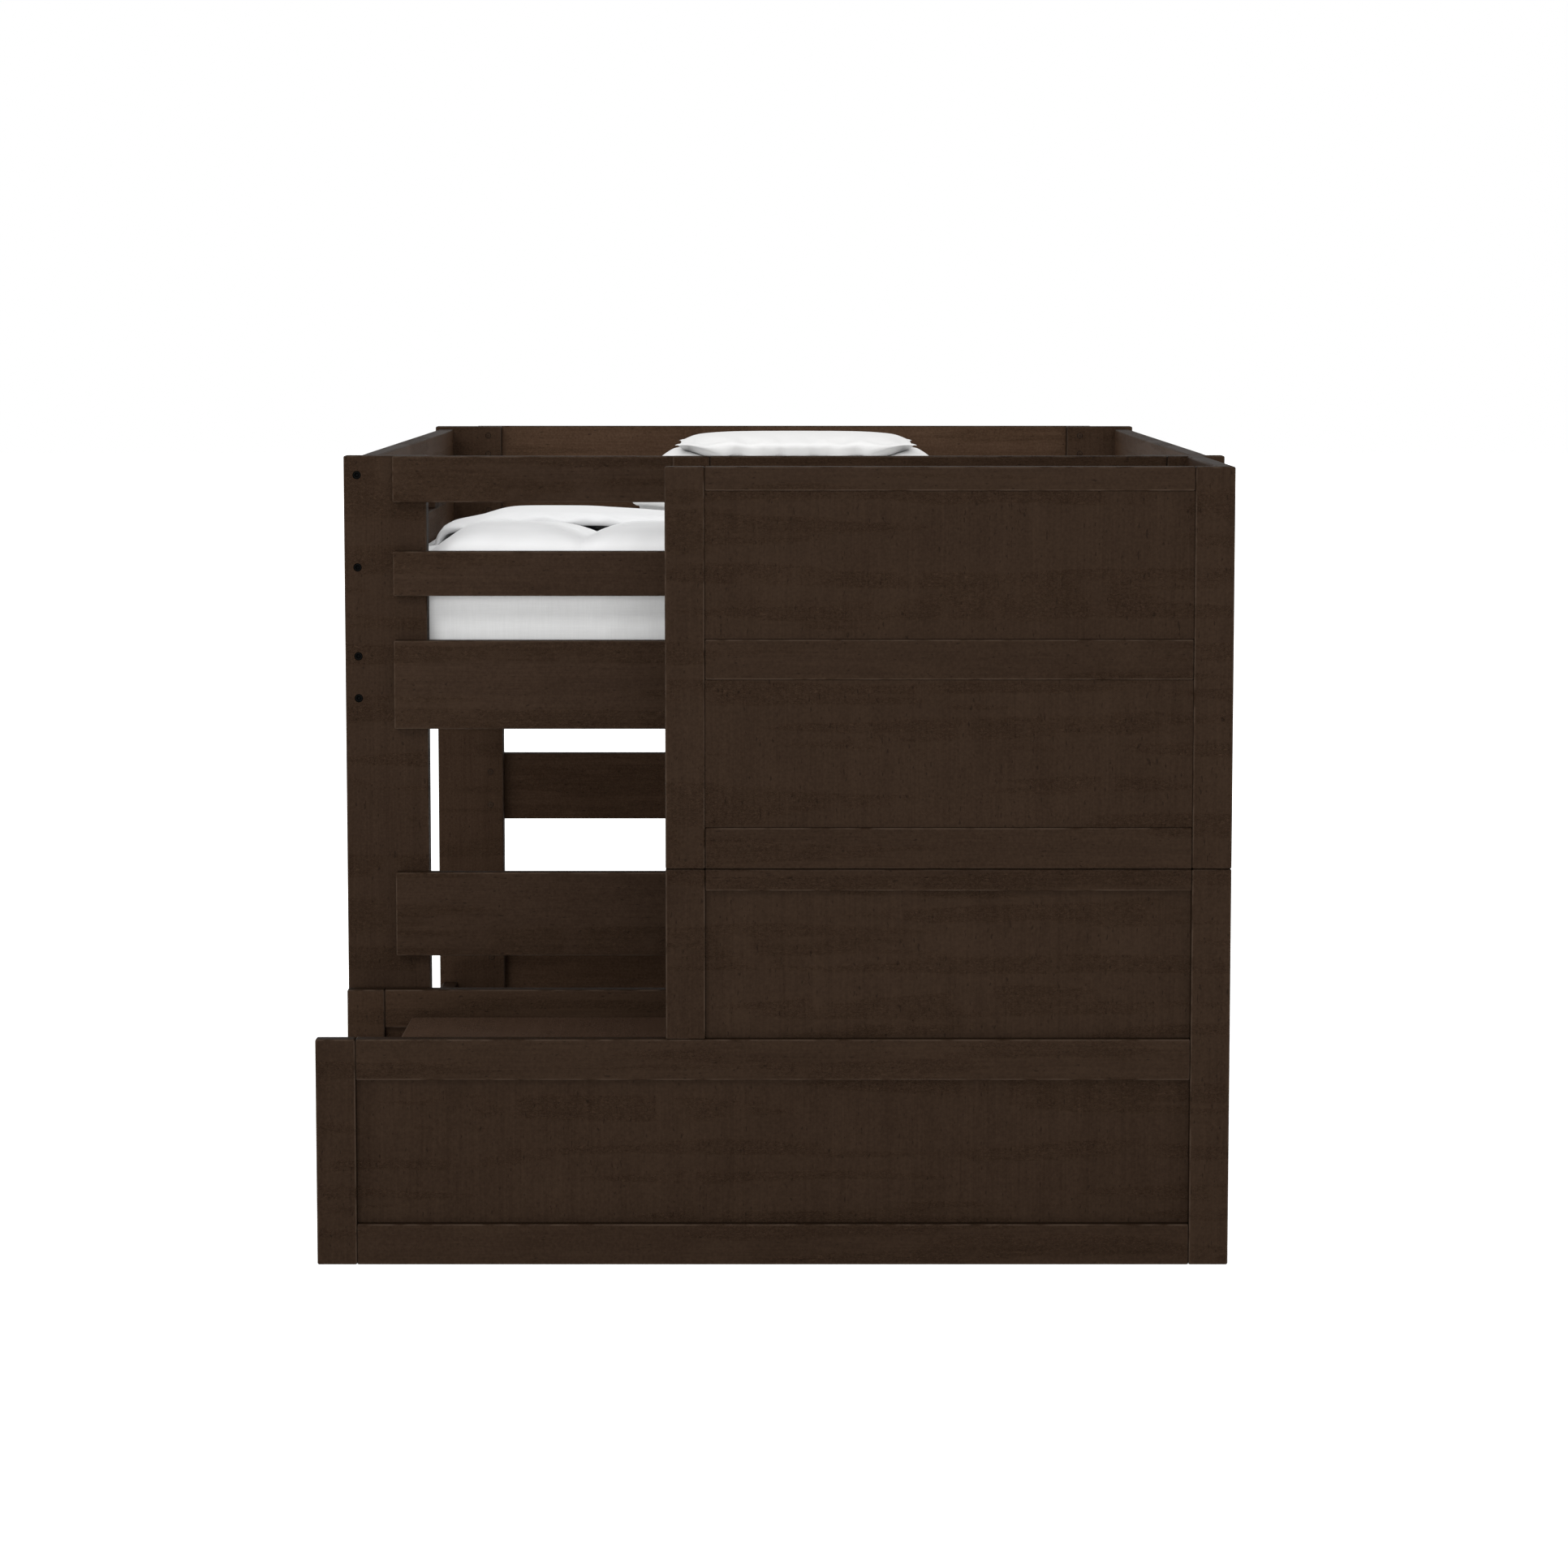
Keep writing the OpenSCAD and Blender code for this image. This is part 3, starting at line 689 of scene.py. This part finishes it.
SLAT_SCREW_HEAD = 0.004
slat_screw_rings = [(0.0004, 0.0018, CROSS), (0.0022, 0.0003, CROSS), (0.0024, 0.0, ROUND),
                    (SLAT_SCREW_HEAD - 0.0004, 0.0, ROUND), (SLAT_SCREW_HEAD, 0.0003, ROUND),
                    (0.0021, 0.0022, ROUND), (0.0019, 0.016, ROUND)]
SCREW_FROM_END, SCREW_FROM_EDGE, SCREW_PROUD = 0.014, 0.024, 0.0002
HEAD_UP = (-math.pi / 2.0, 0.0, 0.0)
slat_screw_places = []
for deck in ("upper_slats", "lower_slats"):
    for low, high in solids_of(deck):
        for x in (low.x + SCREW_FROM_END, high.x - SCREW_FROM_END):
            for y in (low.y + SCREW_FROM_EDGE, high.y - SCREW_FROM_EDGE):
                slat_screw_places.append(((x, y, high.z + SCREW_PROUD), HEAD_UP))
set_out("slat_screws", turned("slat_screw", slat_screw_rings, 20), slat_screw_places,
        ZINC_STEEL)

for node, material in (("rail_screws", ZINC_STEEL), ("unit_bolts", BLACK_STEEL)):
    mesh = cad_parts[node].data
    mesh.materials.clear()
    mesh.materials.append(material)

# ---- Mattress ----
# A foam and spring mattress in a woven ticking, its light grey partly painted shade. The top and bottom
# panels are quilted in diamonds and joined to the plain border by a taped edge.

CLOTH_FRAMES = 18
STILL = 1e-7


def inflate(mesh, pressure, cap, slack):
    """Fills a sewn shell with air as cloth. Held points stay, and no point moves past the cap."""
    marks = enumerate(mesh.attributes["held"].data)
    held = [(index, mark.value) for index, mark in marks if mark.value > 0.0]
    cloth_object = in_scene("cloth_" + mesh.name, mesh)
    seams = cloth_object.vertex_groups.new(name="seams")
    for index, weight in held:
        seams.add([index], weight, "REPLACE")
    cloth = cloth_object.modifiers.new("cloth", "CLOTH")
    cloth.settings.quality = 6
    cloth.settings.mass = 0.2
    cloth.settings.tension_stiffness = 12.0
    cloth.settings.compression_stiffness = 12.0
    cloth.settings.shear_stiffness = 5.0
    cloth.settings.bending_stiffness = 0.4
    cloth.settings.use_pressure = True
    cloth.settings.uniform_pressure_force = pressure
    cloth.settings.shrink_min = -slack
    cloth.settings.vertex_group_mass = "seams"
    cloth.settings.effector_weights.gravity = 0.0
    cloth.collision_settings.use_collision = False
    cloth.point_cache.frame_start = 1
    cloth.point_cache.frame_end = CLOTH_FRAMES
    for step in range(1, CLOTH_FRAMES + 1):
        bpy.context.scene.frame_set(step)
    settled = cloth_object.evaluated_get(bpy.context.evaluated_depsgraph_get()).data
    moves = [after.co - before.co for before, after in zip(mesh.vertices, settled.vertices)]
    for vert, move in zip(mesh.vertices, moves):
        if move.length > STILL:
            vert.co += move * (cap * math.tanh(move.length / cap) / move.length)
    bpy.data.objects.remove(cloth_object)
    bpy.context.scene.frame_set(1)


def soft_piece(name, mesh, material, node):
    """Finishes a stuffed piece: one subdivision, smooth faces and its cloth, set on the root in place of the
    plain part.
    """
    mesh.materials.append(material)
    for polygon in mesh.polygons:
        polygon.use_smooth = True
    carrier = in_scene(name, mesh)
    finer = carrier.modifiers.new("finer", "SUBSURF")
    finer.levels = 1
    finer.render_levels = 1
    piece = plain_from(carrier)
    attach(piece, "root")
    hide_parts(node)


def closed(mesh, merge=2e-4):
    """Merges the seams of a mesh and turns its faces outwards."""
    work = bmesh.new()
    work.from_mesh(mesh)
    bmesh.ops.remove_doubles(work, verts=work.verts, dist=merge)
    bmesh.ops.dissolve_degenerate(work, edges=work.edges, dist=TOUCHING)
    bmesh.ops.recalc_face_normals(work, faces=work.faces)
    work.to_mesh(mesh)
    work.free()


def sewn_cover(name, points, faces, held):
    """A shell with its seams merged, and with how firmly each of its points is held."""
    mesh = mesh_of(name, points, faces)
    mesh.attributes.new("held", "FLOAT", "POINT").data.foreach_set("value", held)
    closed(mesh)
    return mesh


def smooth_step(value, low, high):
    share = min(max((value - low) / (high - low), 0.0), 1.0)
    return share * share * (3.0 - 2.0 * share)


def woven(name, colour, slub, thread, relief, rough=0.9, sheen=0.0):
    """Cotton cloth: crossing threads with thicker ones here and there, and a soft unevenness."""
    cloth = Finish(name, Sheen_Weight=sheen, Specular_IOR_Level=0.12)
    place = cloth.place()
    weft = cloth.noise(cloth.stretch(place, (22.0, 22.0, thread)), roughness=0.7)
    warp = cloth.noise(cloth.stretch(place, (thread, thread, 22.0)), roughness=0.7)
    fuzz = cloth.noise(place, scale=thread * 1.7, roughness=0.7)
    soft = cloth.noise(place, scale=9.0, detail=3.0)
    depth = (weft - 0.5) * slub + (warp - 0.5) * slub + (soft - 0.5) * 0.12 + (fuzz - 0.5) * 0.1 + 0.5
    tint = cloth.blend(cloth.between(depth, 0.2, 0.8), times(colour, 0.9), colour)
    puckers = cloth.bump(soft, distance=0.004, strength=0.25)
    threads = cloth.bump(weft * 0.5 + warp * 0.5 + fuzz * 0.35, distance=relief, strength=0.6, under=puckers)
    return cloth.use(Base_Color=tint, Roughness=rough - fuzz * 0.08, Normal=threads)


mattress_low, mattress_high = (Vector(corner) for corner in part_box("mattress"))
CORNER_RADIUS = 0.06
CELL = 0.0165
BORDER_BULGE = 0.004
PANEL_DROP = 0.007
QUILT_PITCH = 0.17
QUILT_DEPTH = 0.008
TAPE_RADIUS, TAPE_SIDES, TAPE_INSET, TAPE_CORNER_STEPS = 0.0048, 10, 0.0035, 12
CLEARANCE = 0.001
BORDER_LEVELS = 12
BORDER_HOLD = 0.35
UP = Vector((0.0, 0.0, 1.0))


def round_corner(x, y, half_x, half_y, radius):
    """Draws the square corner of a rectangle in to a round one."""
    past_x, past_y = abs(x) - (half_x - radius), abs(y) - (half_y - radius)
    if past_x <= 0.0 or past_y <= 0.0:
        return x, y
    reach = max(past_x, past_y) / math.hypot(past_x, past_y)
    return (math.copysign(half_x - radius + past_x * reach, x),
            math.copysign(half_y - radius + past_y * reach, y))


def quilting(x, y):
    """1 on the stitched diamond lines, fading to 0 between them."""
    nearest = 1.0
    for along in ((x + y) / QUILT_PITCH, (x - y) / QUILT_PITCH):
        nearest = min(nearest, abs(along - round(along)) * 2.0)
    return (1.0 - nearest) ** 4


def mattress_mesh():
    half_x = (mattress_high.x - mattress_low.x) / 2.0 - BORDER_BULGE - CLEARANCE
    half_y = (mattress_high.y - mattress_low.y) / 2.0 - BORDER_BULGE - CLEARANCE
    top, bottom = mattress_high.z - CLEARANCE, mattress_low.z + CLEARANCE
    middle = (mattress_low + mattress_high) / 2.0
    across, along = round(2.0 * half_x / CELL), round(2.0 * half_y / CELL)
    points, faces, held = [], [], []
    for z, up in ((top, 1.0), (bottom, -1.0)):
        start = len(points)
        for j in range(along + 1):
            for i in range(across + 1):
                x, y = half_x * (2.0 * i / across - 1.0), half_y * (2.0 * j / along - 1.0)
                inset = min(half_x - abs(x), half_y - abs(y))
                crown = PANEL_DROP * (1.0 - smooth_step(inset, 0.0, 0.06))
                stitch = quilting(x, y) * smooth_step(inset, 0.01, 0.05)
                px, py = round_corner(x, y, half_x, half_y, CORNER_RADIUS)
                held.append(1.0 if inset < CLEARANCE or stitch > 0.7 else 0.0)
                points.append((middle.x + px, middle.y + py, z - up * (crown + QUILT_DEPTH * stitch)))
        for j in range(along):
            for i in range(across):
                a = start + j * (across + 1) + i
                faces.append((a, a + 1, a + across + 2, a + across + 1))
    rim = [(i, 0) for i in range(across)] + [(across, j) for j in range(along)]
    rim += [(i, along) for i in range(across, 0, -1)] + [(0, j) for j in range(along, 0, -1)]
    start = len(points)
    for level in range(BORDER_LEVELS + 1):
        share = level / BORDER_LEVELS
        bulge = BORDER_BULGE * math.sin(math.pi * share) ** 0.6
        z = bottom + PANEL_DROP + (top - bottom - 2.0 * PANEL_DROP) * share
        for i, j in rim:
            x, y = half_x * (2.0 * i / across - 1.0), half_y * (2.0 * j / along - 1.0)
            px, py = round_corner(x, y, half_x, half_y, CORNER_RADIUS)
            held.append(1.0 if level in (0, BORDER_LEVELS) else BORDER_HOLD)
            points.append((middle.x + px * (1.0 + bulge / half_x), middle.y + py * (1.0 + bulge / half_y), z))
    for level in range(BORDER_LEVELS):
        for k in range(len(rim)):
            a, b = start + level * len(rim) + k, start + level * len(rim) + (k + 1) % len(rim)
            faces.append((a, b, b + len(rim), a + len(rim)))
    return sewn_cover("mattress_cover", points, faces, held)


def taped_edge(name, path):
    """Tape sewn over the seam between a panel and the border, as a round cord on a level path."""
    points, faces = [], []
    count = len(path)
    for k, point in enumerate(path):
        ahead = (path[(k + 1) % count] - path[k - 1]).normalized()
        outwards = ahead.cross(UP).normalized()
        for side in range(TAPE_SIDES):
            angle = 2.0 * math.pi * side / TAPE_SIDES
            points.append(point + (outwards * math.cos(angle) + UP * math.sin(angle)) * TAPE_RADIUS)
    for k in range(count):
        row, following = k * TAPE_SIDES, ((k + 1) % count) * TAPE_SIDES
        for side in range(TAPE_SIDES):
            beside = (side + 1) % TAPE_SIDES
            faces.append((row + side, row + beside, following + beside, following + side))
    mesh = mesh_of(name, points, faces)
    closed(mesh, TOUCHING)
    mesh.materials.append(TAPE)
    for polygon in mesh.polygons:
        polygon.use_smooth = True
    tape = in_scene(name, mesh)
    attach(tape, "root")


# Painted shade: the ticking and its tape are greyer than the white bedding, for the shade the mattress lies
# in.
TICKING_SHADED = woven("mattress_ticking", (0.61, 0.612, 0.61), slub=0.5, thread=420.0, relief=0.0006)
TAPE = woven("mattress_tape", (0.62, 0.62, 0.62), slub=0.4, thread=700.0, relief=0.0004)
cover = mattress_mesh()
inflate(cover, pressure=3.0, cap=0.004, slack=0.008)
soft_piece("mattress_quilted", cover, TICKING_SHADED, "mattress")

middle, tape_half = (mattress_low + mattress_high) / 2.0, (mattress_high - mattress_low) / 2.0
tape_drop, tape_turn = PANEL_DROP + 0.003, CORNER_RADIUS - 0.002
for level, z in (("top", mattress_high.z - tape_drop), ("bottom", mattress_low.z + tape_drop)):
    path = []
    for quarter, (sx, sy) in enumerate(((1, 1), (-1, 1), (-1, -1), (1, -1))):
        centre = Vector((middle.x + sx * (tape_half.x - TAPE_INSET - tape_turn),
                         middle.y + sy * (tape_half.y - TAPE_INSET - tape_turn), z))
        for step in range(TAPE_CORNER_STEPS + 1):
            angle = math.pi / 2.0 * (quarter + step / TAPE_CORNER_STEPS)
            path.append(centre + Vector((math.cos(angle), math.sin(angle), 0.0)) * tape_turn)
    taped_edge(f"mattress_tape_{level}", path)

# ---- Duvet ----
# A box-stitched cotton duvet, plump at the foot and turned down below the pillows, so that its
# end lies back over it and drops to the mattress at each side.

duvet_low, duvet_high = (Vector(corner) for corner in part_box("duvet"))
CHANNELS = 4
COLUMNS = 92
FOOT_RISE, MIDDLE_RISE, UNDER_FOLD_RISE = 0.075, 0.048, 0.027
FOLD_LENGTH = 0.34
FOLD_BOTTOM, FOLD_TOP = 0.037, 0.0585
FOLD_HALF = 0.702
CREASE_DEPTH, CREASE_REACH = 0.022, 0.1
CROSS_PITCH, CROSS_REACH, STITCH_WIDTH = 0.31, 0.07, 0.008
NARROW_HALF = 0.595
HEM, HEM_ROUNDING, FOOT_ROUNDING, LIP_ROUNDING = 0.12, 0.012, 0.075, 0.02
FOLD_DIP, FOLD_THINNING = 0.009, 0.009
FOLD_CREASE_DEPTH, FOLD_CREASE_REACH = 0.003, 0.08
FOLD_SHOULDER, FOLD_DROP = math.radians(10.5), math.radians(76.0)
FOOT_INSET, HEAD_INSET = 0.008, 0.004

duvet_half = duvet_high.x - CLEARANCE
channel_pitch = 2.0 * duvet_half / CHANNELS
foot_y, bed_z = duvet_low.y + FOOT_INSET, duvet_low.z + CLEARANCE
turn_radius = FOLD_TOP / 2.0
turn_y = duvet_high.y - turn_radius - HEAD_INSET
fold_front_y = turn_y - FOLD_LENGTH + turn_radius


def crease(distance, reach):
    return max(0.0, 1.0 - abs(distance) / reach) ** 2


def rounded(distance, reach):
    """0 at an edge, and 1 past the reach of its round."""
    share = min(max(distance / reach, 0.0), 1.0)
    return math.sqrt(1.0 - (1.0 - share) ** 2)


def body_half(y):
    return duvet_half + (NARROW_HALF - duvet_half) * smooth_step(y, fold_front_y - 0.25, fold_front_y + 0.1)


def body_rise(x, y):
    """How far the duvet's top stands over the mattress."""
    to_side = body_half(y) - abs(x)
    side = (HEM + (1.0 - HEM) * smooth_step(to_side, 0.03, 0.16)) * rounded(to_side, HEM_ROUNDING)
    front = rounded(y - foot_y, FOOT_ROUNDING)
    rise = FOOT_RISE + (MIDDLE_RISE - FOOT_RISE) * smooth_step(y, foot_y + 0.16, foot_y + 0.5)
    rise += (UNDER_FOLD_RISE - rise) * smooth_step(y, fold_front_y - 0.16, fold_front_y + 0.02)
    channel = 1.0
    if abs(x) < duvet_half - channel_pitch / 2.0:
        channel = x / channel_pitch - round(x / channel_pitch)
    cross = (y - foot_y - CROSS_PITCH) / CROSS_PITCH
    cross = cross - round(cross) if y - foot_y > CROSS_PITCH / 2.0 else 1.0
    sewn = max(crease(channel * channel_pitch, CREASE_REACH), 0.8 * crease(cross * CROSS_PITCH, CROSS_REACH))
    depth = CREASE_DEPTH * (0.45 + 0.55 * rise / FOOT_RISE)
    return front * side * max(rise - depth * sewn, 0.0)


def fold_profile():
    """The turned-down end seen from the foot: (x, z, slope) along its right half, by arc length."""
    steps = COLUMNS // 2
    profile = [(0.0, 0.0, 0.0)]
    x = z = 0.0
    for step in range(1, steps + 1):
        arc = FOLD_HALF * step / steps
        slope = FOLD_SHOULDER * smooth_step(arc, 0.52, 0.56)
        slope += FOLD_DROP * smooth_step(arc, 0.632, 0.678)
        x += FOLD_HALF / steps * math.cos(slope)
        z -= FOLD_HALF / steps * math.sin(slope)
        profile.append((x, z, slope))
    return profile


FOLD_PROFILE = fold_profile()


def fold_point(column, y):
    """The inner and the outer face of the turned-down end at a column."""
    offset = column - COLUMNS // 2
    x, z, slope = FOLD_PROFILE[abs(offset)]
    side = -1.0 if offset < 0 else 1.0
    to_edge = FOLD_HALF * (1.0 - abs(offset) / (COLUMNS // 2))
    rounding = rounded(to_edge, LIP_ROUNDING) * rounded(y - fold_front_y, LIP_ROUNDING)
    thick = FOLD_TOP - FOLD_BOTTOM
    if x < duvet_half - channel_pitch / 2.0:
        off_stitch = x - channel_pitch * round(x / channel_pitch)
        thick -= FOLD_CREASE_DEPTH * crease(off_stitch, FOLD_CREASE_REACH)
    thick = (thick - FOLD_THINNING * smooth_step(x, 0.5, 0.6)) * rounding
    dip = FOLD_DIP * (1.0 - smooth_step(x, 0.2, 0.38))
    centre = Vector((side * x, y, bed_z + (FOLD_BOTTOM + FOLD_TOP) / 2.0 + z - dip))
    centre.z = max(centre.z, bed_z + thick / 2.0 + 0.0005)
    outwards = Vector((side * math.sin(slope), 0.0, math.cos(slope)))
    return centre - outwards * thick / 2.0, centre + outwards * thick / 2.0


BODY_ROWS, TURN_ROWS, FOLD_ROWS = 74, 9, 26


def duvet_mesh():
    pairs, free = [], []
    for row in range(BODY_ROWS + 1):
        share = row / BODY_ROWS
        y = foot_y + (turn_y - foot_y) * (share ** 1.12)
        under = smooth_step(y, fold_front_y - 0.06, fold_front_y)
        line = []
        for column in range(COLUMNS + 1):
            x = (2.0 * column / COLUMNS - 1.0) * body_half(y)
            line.append((Vector((x, y, bed_z + body_rise(x, y))), Vector((x, y, bed_z))))
        pairs.append(line)
        free.append((1.0 - under, 0.0))
    body_end = pairs[-1]
    fold_start = [fold_point(column, turn_y) for column in range(COLUMNS + 1)]
    for row in range(1, TURN_ROWS):
        angle = math.pi * row / TURN_ROWS
        line = []
        for (inner_low, outer_low), (inner_high, outer_high) in zip(body_end, fold_start):
            made = []
            for start, end in ((inner_low, inner_high), (outer_low, outer_high)):
                radius = abs(end.z - start.z) / 2.0
                centre = (start + end) / 2.0
                x = start.x + (end.x - start.x) * row / TURN_ROWS
                made.append(Vector((x, turn_y + radius * math.sin(angle),
                                    centre.z - (end.z - start.z) / 2.0 * math.cos(angle))))
            line.append(tuple(made))
        pairs.append(line)
        free.append((0.0, 1.0))
    for row in range(FOLD_ROWS + 1):
        share = row / FOLD_ROWS
        y = turn_y + (fold_front_y - turn_y) * (1.0 - (1.0 - share) ** 1.35)
        pairs.append([fold_point(column, y) for column in range(COLUMNS + 1)])
        free.append((0.0, 1.0))
    points, held = [], []
    for line, (inner_free, outer_free) in zip(pairs, free):
        for column, (inner, outer) in enumerate(line):
            x = abs(inner.x)
            off_stitch = abs(x - channel_pitch * round(x / channel_pitch))
            on_stitch = off_stitch < STITCH_WIDTH and x < duvet_half - channel_pitch / 2.0
            at_edge = column in (0, COLUMNS)
            for point, loose in ((inner, inner_free), (outer, outer_free)):
                points.append(point)
                held.append(1.0 if (on_stitch and inner_free > 0.5) or at_edge else 1.0 - loose)
    faces = []
    wide = COLUMNS + 1
    for row in range(len(pairs) - 1):
        for column in range(COLUMNS):
            for side in (0, 1):
                a, b = (row * wide + column) * 2 + side, (row * wide + column + 1) * 2 + side
                faces.append((a, b, b + 2 * wide, a + 2 * wide))
        for column in (0, COLUMNS):
            a = (row * wide + column) * 2
            faces.append((a, a + 1, a + 1 + 2 * wide, a + 2 * wide))
    for row in (0, len(pairs) - 1):
        for column in range(COLUMNS):
            a = (row * wide + column) * 2
            faces.append((a, a + 1, a + 3, a + 2))
    return sewn_cover("duvet_cover", points, faces, held)


PERCALE = woven("white_percale", (0.76, 0.763, 0.768), slub=0.22, thread=1500.0, relief=0.00015,
                rough=0.85, sheen=0.1)
duvet = duvet_mesh()
inflate(duvet, pressure=2.5, cap=0.006, slack=0.04)
for vert in duvet.vertices:
    vert.co.z = max(vert.co.z, bed_z)
soft_piece("duvet_turned_down", duvet, PERCALE, "duvet")

# ---- Pillows ----
# Two fibre-filled pillows in white cases, one on the other, with pointed corners where the seams
# meet. The upper one presses into the lower one and is pressed flat beneath.

PILLOW_CELL = 0.0115
PULL_IN = 0.05
AT_SEAM = 1e-4
LOWER_SEAM_RISE, LOWER_CROWN = 0.06, 0.132
PRESSED_IN, PRESSED_RIM, PRESSED_SHARE = 0.004, 0.026, 0.12
UPPER_CROWN = 0.025
PILLOW_GAP = 0.0008


def pillow_mesh(name, node, middle_z, above, below, square):
    """A pillow case, filled: its sides pull in between its corners, its middle stands highest."""
    low, high = (Vector(corner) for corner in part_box(node))
    middle, half = (low + high) / 2.0, (high - low) / 2.0
    across, along = round(2.0 * half.x / PILLOW_CELL), round(2.0 * half.y / PILLOW_CELL)
    points, faces, held = [], [], []
    for up in (1.0, -1.0):
        start = len(points)
        for j in range(along + 1):
            for i in range(across + 1):
                u, v = 2.0 * i / across - 1.0, 2.0 * j / along - 1.0
                full = ((1.0 - abs(u) ** square) * (1.0 - abs(v) ** square)) ** 0.55
                height = (above if up > 0.0 else below) * full
                x = half.x * u * (1.0 - PULL_IN * (1.0 - v * v))
                y = half.y * v * (1.0 - PULL_IN * (1.0 - u * u))
                points.append((middle.x + x, middle.y + y, middle_z + up * height))
                held.append(1.0 if full < AT_SEAM else 0.0)
        for j in range(along):
            for i in range(across):
                a = start + j * (across + 1) + i
                faces.append((a, a + 1, a + across + 2, a + across + 1))
    return sewn_cover(name, points, faces, held)


def fit_height(mesh, middle_z, top_z):
    """Scales what stands above the seam so that the pillow's highest point is at top_z."""
    share = (top_z - middle_z) / (max(v.co.z for v in mesh.vertices) - middle_z)
    for vert in mesh.vertices:
        if vert.co.z > middle_z:
            vert.co.z = middle_z + (vert.co.z - middle_z) * share


PILLOW_COTTON = woven("pillow_percale", (0.71, 0.707, 0.702), slub=0.2, thread=1600.0, relief=0.00015,
                      rough=0.85, sheen=0.1)
pillow_floor = mattress_high.z + 0.0005
lower_seam_z = pillow_floor + LOWER_SEAM_RISE
lower_pillow = pillow_mesh("pillow_case_lower", "pillow_lower", lower_seam_z,
                           above=0.11, below=0.052, square=3.4)
inflate(lower_pillow, pressure=4.0, cap=0.022, slack=0.08)
fit_height(lower_pillow, lower_seam_z, lower_seam_z + LOWER_CROWN)
upper_low, upper_high = (Vector(corner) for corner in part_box("pillow_upper"))
upper_middle, upper_half = (upper_low + upper_high) / 2.0, (upper_high - upper_low) / 2.0
for vert in lower_pillow.vertices:
    offset = vert.co - upper_middle
    reach = max(abs(offset.x) / upper_half.x, abs(offset.y) / upper_half.y)
    pressed = upper_low.z - PRESSED_IN + PRESSED_RIM * smooth_step(reach, 0.6, 1.1)
    if vert.co.z > pressed:
        vert.co.z = pressed + (vert.co.z - pressed) * PRESSED_SHARE
    vert.co.z = max(vert.co.z, pillow_floor)

upper_seam_z = upper_high.z - UPPER_CROWN
upper_pillow = pillow_mesh("pillow_case_upper", "pillow_upper", upper_seam_z,
                           above=0.024, below=0.034, square=3.6)
inflate(upper_pillow, pressure=4.0, cap=0.02, slack=0.08)
fit_height(upper_pillow, upper_seam_z, upper_high.z - CLEARANCE)
below = surface_of(lower_pillow)
for vert in upper_pillow.vertices:
    hit = below.ray_cast(Vector((vert.co.x, vert.co.y, upper_high.z + 0.2)), -UP)[0]
    if hit is not None:
        vert.co.z = max(vert.co.z, hit.z + PILLOW_GAP)
soft_piece("pillow_lower_filled", lower_pillow, PILLOW_COTTON, "pillow_lower")
soft_piece("pillow_upper_filled", upper_pillow, PILLOW_COTTON, "pillow_upper")
